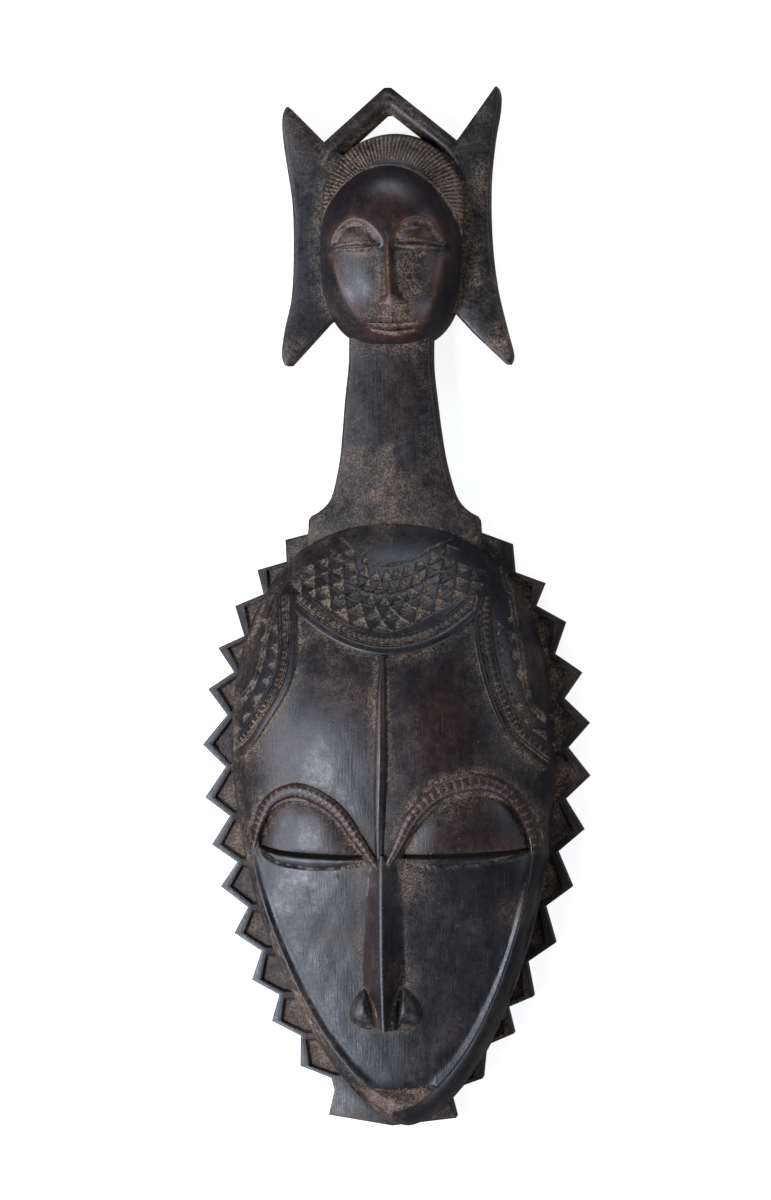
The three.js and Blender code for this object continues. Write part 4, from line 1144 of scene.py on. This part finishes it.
def slit_cutter(eye, name):
    bm, a, t, along, x, y = strip(
        eye["slit"], 2, 40, lambda a, t: a * 0.5 * SLIT_WIDTH * (0.55 + 0.45 * np.sin(np.pi * t)))
    set_places(bm, x, y, np.full_like(x, SLIT_TOP))
    close_below(bm, SLIT_FOOT)
    knots = np.array(eye["slit"])
    surface = face_height(knots[:, 0], knots[:, 1]) - SLIT_SUNK
    for vertex in bm.verts:
        over = vertex.co.z - float(np.interp(vertex.co.x, knots[:, 0], surface))
        vertex.co.y += SLIT_SLANT * over
    return body_of(bm, name)


left_slit = slit_cutter(EYES[0], "left_slit")
right_slit = slit_cutter(EYES[1], "right_slit")

# %% [markdown]
# ## One piece of wood
# The blocks are joined and cut with Boolean modifiers. The Manifold solver is quick and
# leaves one closed skin, which is what a single block of wood is.

# %% Join and cut
added = [face_block] + face_parts + [neck_block, left_horn, right_horn, hair_block, head_block]
added += small_parts + [loop_block]
cutters = [hollow_block, left_slit, right_slit]
for operation, others in (("DIFFERENCE", [left_panels, right_panels]), ("UNION", added),
                          ("DIFFERENCE", cutters)):
    for other in others:
        modifier = border_block.modifiers.new(other.name, "BOOLEAN")
        modifier.operation = operation
        modifier.solver = "MANIFOLD"
        modifier.object = other

graph = bpy.context.evaluated_depsgraph_get()
carved_mesh = bpy.data.meshes.new_from_object(border_block.evaluated_get(graph))
carved_mesh.name = "mask_carving"
bm = bmesh.new()
bm.from_mesh(carved_mesh)
bmesh.ops.triangulate(bm, faces=[face for face in bm.faces if len(face.verts) > 4])
open_edges = sum(1 for edge in bm.edges if not edge.is_manifold)
bm.to_mesh(carved_mesh)
bm.free()
for body in [border_block, left_panels, right_panels] + added + cutters:
    bpy.data.objects.remove(body)
carved_mesh.calc_loop_triangles()
print("carving", len(carved_mesh.loop_triangles), "triangles,", open_edges, "open edges")

# %% [markdown]
# ## Dust in the hollows, wear on the edges
# Dust gathers wherever the skin bends inwards, and hands rub the wood where it bends
# outwards. Each point looks at its neighbours: if they stand in front of its own plane,
# it lies in a hollow, and if they fall behind it, it lies on an edge.

# %% Bend of the skin at every point
count = len(carved_mesh.vertices)
place = np.empty((count, 3))
carved_mesh.vertices.foreach_get("co", place.ravel())
facing = np.empty((count, 3), dtype=np.float32)
carved_mesh.vertex_normals.foreach_get("vector", facing.ravel())
pairs = np.empty((len(carved_mesh.edges), 2), dtype=np.int32)
carved_mesh.edges.foreach_get("vertices", pairs.ravel())
first, second = pairs.T
edges_here = np.bincount(first, minlength=count) + np.bincount(second, minlength=count)


def neighbour_mean(values_first, values_second):
    """Mean over a point's edges of a value given for each end"""
    total = np.bincount(first, values_first, count) + np.bincount(second, values_second, count)
    return total / np.maximum(edges_here, 1)


towards = place[second] - place[first]
towards /= np.maximum(np.linalg.norm(towards, axis=1), 1e-9)[:, None]
bend = neighbour_mean(np.sum(facing[first] * towards, axis=1),
                      -np.sum(facing[second] * towards, axis=1))
bend = 0.5 * bend + 0.5 * neighbour_mean(bend[second], bend[first])
hollow_bend, edge_bend = ease(0.05, 0.3, bend), ease(0.08, 0.35, -bend)
print("points in hollows", int((hollow_bend > 0.5).sum()))
print("points on edges", int((edge_bend > 0.5).sum()))


# %% Marks of the whole carving
TEMPLE_FOOT, TEMPLE_TOP, CHIN_LEVEL = 10.0, 70.0, -212.0
SHARP_ANGLE = math.radians(38.0)
MILLIMETRE = 0.001


def marks_of(label):
    """The blocks' own marks. Points made by the cuts take the mean of their neighbours"""
    values = np.empty(count, dtype=np.float32)
    carved_mesh.attributes[label].data.foreach_get("value", values)
    values = values.astype(float)
    for _ in range(3):
        known = (values > MARK_SHIFT - 0.5).astype(float)
        total = neighbour_mean((values * known)[second], (values * known)[first])
        share = neighbour_mean(known[second], known[first])
        values = np.where((known < 0.5) & (share > 0), total / np.maximum(share, 1e-9), values)
    return np.clip(values - MARK_SHIFT, 0.0, 2.0)


dust_and_painted_light, rub_and_painted_light = marks_of("dust_and_painted_light"), marks_of("rub_and_painted_light")
x, y, z = place.T
front, left = facing[:, 2] > -0.2, x < 0
ring = ring_of(FACE, x, y)
under_rim = BORDER_THICKNESS - z
in_panel = (under_rim > 0.4) & (under_rim < PANEL_DEPTH + 0.2)
in_panel &= (ring > 1.0) & (y < FOOT_LEVEL + 1.0)
# Painted light and shade: the panel floors of the left teeth get a little tan and more red-brown
# than those of the right teeth, so the left teeth look lit and the right ones shaded.
dust_and_painted_light = np.where(in_panel, np.where(left, 0.17, 0.0), dust_and_painted_light)
rub_and_painted_light = np.where(in_panel, np.where(left, 0.4, 0.2), rub_and_painted_light)
# Painted highlight: tan is laid along the rim and over the temple on the left side only, where the
# left lamp's sheen falls, so they read lighter, as a highlight would.
lit_left_side = front & left & (z > BORDER_THICKNESS + 1.0)
painted_rim_highlight = np.maximum(dust_and_painted_light, 0.34 * bump((ring - 0.955) / 0.03))
painted_temple_highlight = dust_and_painted_light + 0.16 * ease(0.78, 0.9, ring)
dust_and_painted_light = np.where(lit_left_side & (y < TEMPLE_FOOT), painted_rim_highlight, dust_and_painted_light)
dust_and_painted_light = np.where(lit_left_side & (y >= TEMPLE_FOOT) & (y < TEMPLE_TOP), painted_temple_highlight, dust_and_painted_light)
on_chin_tooth = (y < CHIN_LEVEL) & (z > BORDER_THICKNESS - 1.0) & (ring > 1.02)
dust_and_painted_light = np.where(on_chin_tooth, 0.2, dust_and_painted_light)
# The rib grooves take no tan from the hollows, so they stay darker than the tan crests.
from_ribs = np.abs(from_hair_middle(x, y) - RIBS["radius"])
on_ribs = (from_ribs < RIBS["half_width"] - 0.4) & (y > 150)
dust_and_painted_light = np.where(front, np.maximum(dust_and_painted_light, np.where(on_ribs, 0.0, 0.55) * hollow_bend), 0.12)
rub_and_painted_light = np.maximum(rub_and_painted_light, 0.55 * edge_bend)
for label, values in (("dust_and_painted_light", dust_and_painted_light), ("rub_and_painted_light", rub_and_painted_light)):
    values = np.clip(values, 0, 1.6).astype(np.float32)
    carved_mesh.attributes[label].data.foreach_set("value", values)

carved_mesh.transform(Matrix.Translation(TO_FRAME) @ Matrix.Scale(MILLIMETRE, 4))
for polygon in carved_mesh.polygons:
    polygon.use_smooth = True
carved_mesh.set_sharp_from_angle(angle=SHARP_ANGLE)
mask_carving = bpy.data.objects.new("mask_carving", carved_mesh)
bpy.context.scene.collection.objects.link(mask_carving)
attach(mask_carving, "root")
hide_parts("mask")

# %% [markdown]
# ## Wood, dust and wear, and painted light
# The wood is nearly black and polished by hands. Fine grain runs along the mask. Tan
# dust lies in the cuts, broken up into specks, and red-brown shows where the dark skin
# is rubbed thin. The same tan and red-brown also paint light on the lit left side: the
# left rim and temple, the left teeth and the left nose wing. The polish is duller where
# dust lies and a little uneven everywhere.

# %% Material
DARK_WOOD = (0.0042, 0.0040, 0.0056, 1)
WARM_WOOD = (0.0120, 0.0092, 0.0095, 1)
RED_WOOD = (0.062, 0.0190, 0.0100, 1)
TAN_DUST_AND_PAINTED_LIGHT = (0.225, 0.160, 0.112, 1)
POLISH, DULL = 0.35, 0.85
GRAIN_STRENGTH, GRAIN_DEPTH = 0.45, 0.00018


def build_wood_material():
    material = bpy.data.materials.new("dark_polished_wood")
    material.use_nodes = True
    tree = material.node_tree
    nodes = tree.nodes
    nodes.clear()
    output = nodes.new("ShaderNodeOutputMaterial")
    shader = nodes.new("ShaderNodeBsdfPrincipled")
    position = nodes.new("ShaderNodeTexCoord")

    def feed(socket, value):
        """Sets a plain value on a socket, or joins another node's output to it"""
        if isinstance(value, bpy.types.NodeSocket):
            tree.links.new(value, socket)
        else:
            socket.default_value = value

    def noise(scale, detail=3.0, stretch=None, roughness=0.5):
        texture = nodes.new("ShaderNodeTexNoise")
        source = position.outputs["Object"]
        if stretch:
            mapping = nodes.new("ShaderNodeMapping")
            feed(mapping.inputs["Scale"], stretch)
            feed(mapping.inputs["Vector"], source)
            source = mapping.outputs["Vector"]
        for name, value in (("Scale", scale), ("Detail", detail), ("Roughness", roughness),
                            ("Vector", source)):
            feed(texture.inputs[name], value)
        return texture.outputs["Fac"]

    def remap(value, low, high, out_low=0.0, out_high=1.0):
        node = nodes.new("ShaderNodeMapRange")
        for name, number in (("Value", value), ("From Min", low), ("From Max", high),
                             ("To Min", out_low), ("To Max", out_high)):
            feed(node.inputs[name], number)
        return node.outputs["Result"]

    def maths(operation, first, second, clamp=False):
        node = nodes.new("ShaderNodeMath")
        node.operation = operation
        node.use_clamp = clamp
        feed(node.inputs[0], first)
        feed(node.inputs[1], second)
        return node.outputs[0]

    def plus(first, second):
        return maths("ADD", first, second)

    def times(first, second, clamp=False):
        return maths("MULTIPLY", first, second, clamp)

    def blend(factor, first, second):
        node = nodes.new("ShaderNodeMix")
        node.data_type = "RGBA"
        for name, value in (("A", first), ("B", second), ("Factor", factor)):
            feed(node.inputs[name], value)
        return node.outputs["Result"]

    def mark(label):
        node = nodes.new("ShaderNodeAttribute")
        node.attribute_name = label
        return node.outputs["Fac"]

    grain = noise(1.0, 4.0, (1300.0, 60.0, 1300.0), 0.6)
    broad_grain = noise(1.0, 4.0, (300.0, 24.0, 300.0), 0.6)
    cloud = noise(30.0, 6.0, roughness=0.65)
    patch = noise(110.0, 6.0, roughness=0.7)
    mottle = noise(380.0, 5.0, roughness=0.7)
    speck = noise(1300.0, 3.0, roughness=0.65)
    scratch = noise(1.0, 3.0, (2000.0, 70.0, 700.0), 0.6)
    nick = noise(1.0, 2.0, (420.0, 900.0, 420.0))

    colour = blend(remap(plus(broad_grain, cloud), 0.85, 1.15), DARK_WOOD, WARM_WOOD)
    warm = plus(times(remap(cloud, 0.48, 0.68), 0.25), mark("rub_and_painted_light"))
    warm = times(warm, remap(patch, 0.35, 0.65, 0.3, 1.15))
    warm = times(warm, remap(mottle, 0.35, 0.65, 0.55, 1.15))
    colour = blend(times(warm, 0.7, True), colour, RED_WOOD)

    spread = times(mark("dust_and_painted_light"), remap(patch, 0.36, 0.64, 0.25, 1.55))
    spread = plus(spread, times(remap(cloud, 0.5, 0.72), 0.12))
    spread = times(spread, remap(mottle, 0.36, 0.62, 0.35, 1.3))
    spread = times(spread, remap(cloud, 0.40, 0.60, 0.55, 1.5))
    tan_amount = times(spread, remap(speck, 0.44, 0.60, 0.1, 1.7), True)
    scratched = maths("MAXIMUM", times(remap(scratch, 0.64, 0.74), 0.22),
                      times(remap(nick, 0.72, 0.78), 0.3))
    tan_amount = maths("MAXIMUM", tan_amount, scratched, True)

    gloss = plus(remap(tan_amount, 0.0, 0.7, POLISH, DULL), remap(patch, 0.35, 0.65, -0.03, 0.06))
    gloss = plus(gloss, remap(mottle, 0.35, 0.65, -0.04, 0.06))
    height = plus(times(grain, 0.9), times(speck, 0.4))
    height = plus(plus(height, times(mottle, 0.5)), times(patch, 0.3))
    relief = nodes.new("ShaderNodeBump")
    feed(relief.inputs["Strength"], GRAIN_STRENGTH)
    feed(relief.inputs["Distance"], GRAIN_DEPTH)
    feed(relief.inputs["Height"], height)

    feed(shader.inputs["Base Color"], blend(tan_amount, colour, TAN_DUST_AND_PAINTED_LIGHT))
    feed(shader.inputs["Roughness"], gloss)
    feed(shader.inputs["Specular IOR Level"], 0.5)
    feed(shader.inputs["Normal"], relief.outputs["Normal"])
    feed(output.inputs["Surface"], shader.outputs["BSDF"])
    print("wood material", len(nodes), "nodes")
    return material


mask_carving.data.materials.clear()
mask_carving.data.materials.append(build_wood_material())

# %% [markdown]
# ## Table and light
# The mask lies on a plain white table. One broad soft lamp stands high on the left, and
# its reflection models the forehead and the cheeks. A weak one beyond the head lifts
# the crown and the hair. Four long weak lamps stand low round the table and draw thin
# highlights along rims, teeth and nose. The table glows a little, like a light table,
# so it stays white. Its glow is kept out of the reflections, where it would lie on
# the polish like a grey veil.

# %% Table
TABLE_HALF_SIZE = 3.0
TABLE_LOOK = {"Base Color": (0.5, 0.5, 0.5, 1), "Roughness": 0.9, "Specular IOR Level": 0.0,
              "Emission Color": (1.0, 1.0, 1.0, 1), "Emission Strength": 0.86}

bm, _, _ = grid_mesh(1, 1)
bmesh.ops.scale(bm, vec=(TABLE_HALF_SIZE, TABLE_HALF_SIZE, 1.0), verts=bm.verts)
table = body_of(bm, "table")
table_material = bpy.data.materials.new("white_table")
table_material.use_nodes = True
table_shader = table_material.node_tree.nodes["Principled BSDF"]
for name, value in TABLE_LOOK.items():
    table_shader.inputs[name].default_value = value
table.data.materials.append(table_material)
table.visible_glossy = False

# %% Lamps
LAMP_COLOUR = (0.80, 0.87, 1.0)
STUDIO_COLOUR, STUDIO_STRENGTH = (0.88, 0.93, 1.0, 1), 0.09
# Name, place, target, size and watts of each lamp
LAMPS = [
    ("left_lamp", (-1.05, -0.53, 1.75), (0, -0.05, 0), (0.85, 0.55), 38),
    ("top_lamp", (0.1, 1.6, 0.75), (0, 0.1, 0), (1.2, 0.5), 11),
    ("left_low_lamp", (-1.1, -0.2, 0.56), (0, -0.05, 0.02), (1.0, 0.36), 10),
    ("lower_left_lamp", (-0.75, -1.0, 0.5), (0, -0.1, 0.02), (0.8, 0.36), 4.5),
    ("lower_right_lamp", (0.85, -0.95, 0.5), (0, -0.1, 0.02), (0.7, 0.36), 4.5),
    ("right_low_lamp", (1.1, 0.35, 0.5), (0, 0, 0.02), (0.8, 0.36), 2.2),
]

for name, at, target, size, watts in LAMPS:
    light = bpy.data.lights.new(name, "AREA")
    light.shape = "RECTANGLE"
    light.size, light.size_y = size
    light.energy = watts
    light.color = LAMP_COLOUR
    holder = bpy.data.objects.new(name, light)
    holder.visible_camera = False
    holder.location = at
    holder.rotation_euler = (Vector(target) - Vector(at)).to_track_quat("-Z", "Y").to_euler()
    bpy.context.scene.collection.objects.link(holder)

world = bpy.data.worlds.new("studio")
world.use_nodes = True
background = world.node_tree.nodes["Background"]
background.inputs["Color"].default_value = STUDIO_COLOUR
background.inputs["Strength"].default_value = STUDIO_STRENGTH
bpy.context.scene.world = world
bpy.context.scene.view_settings.view_transform = "Standard"
print(len(LAMPS), "lamps")
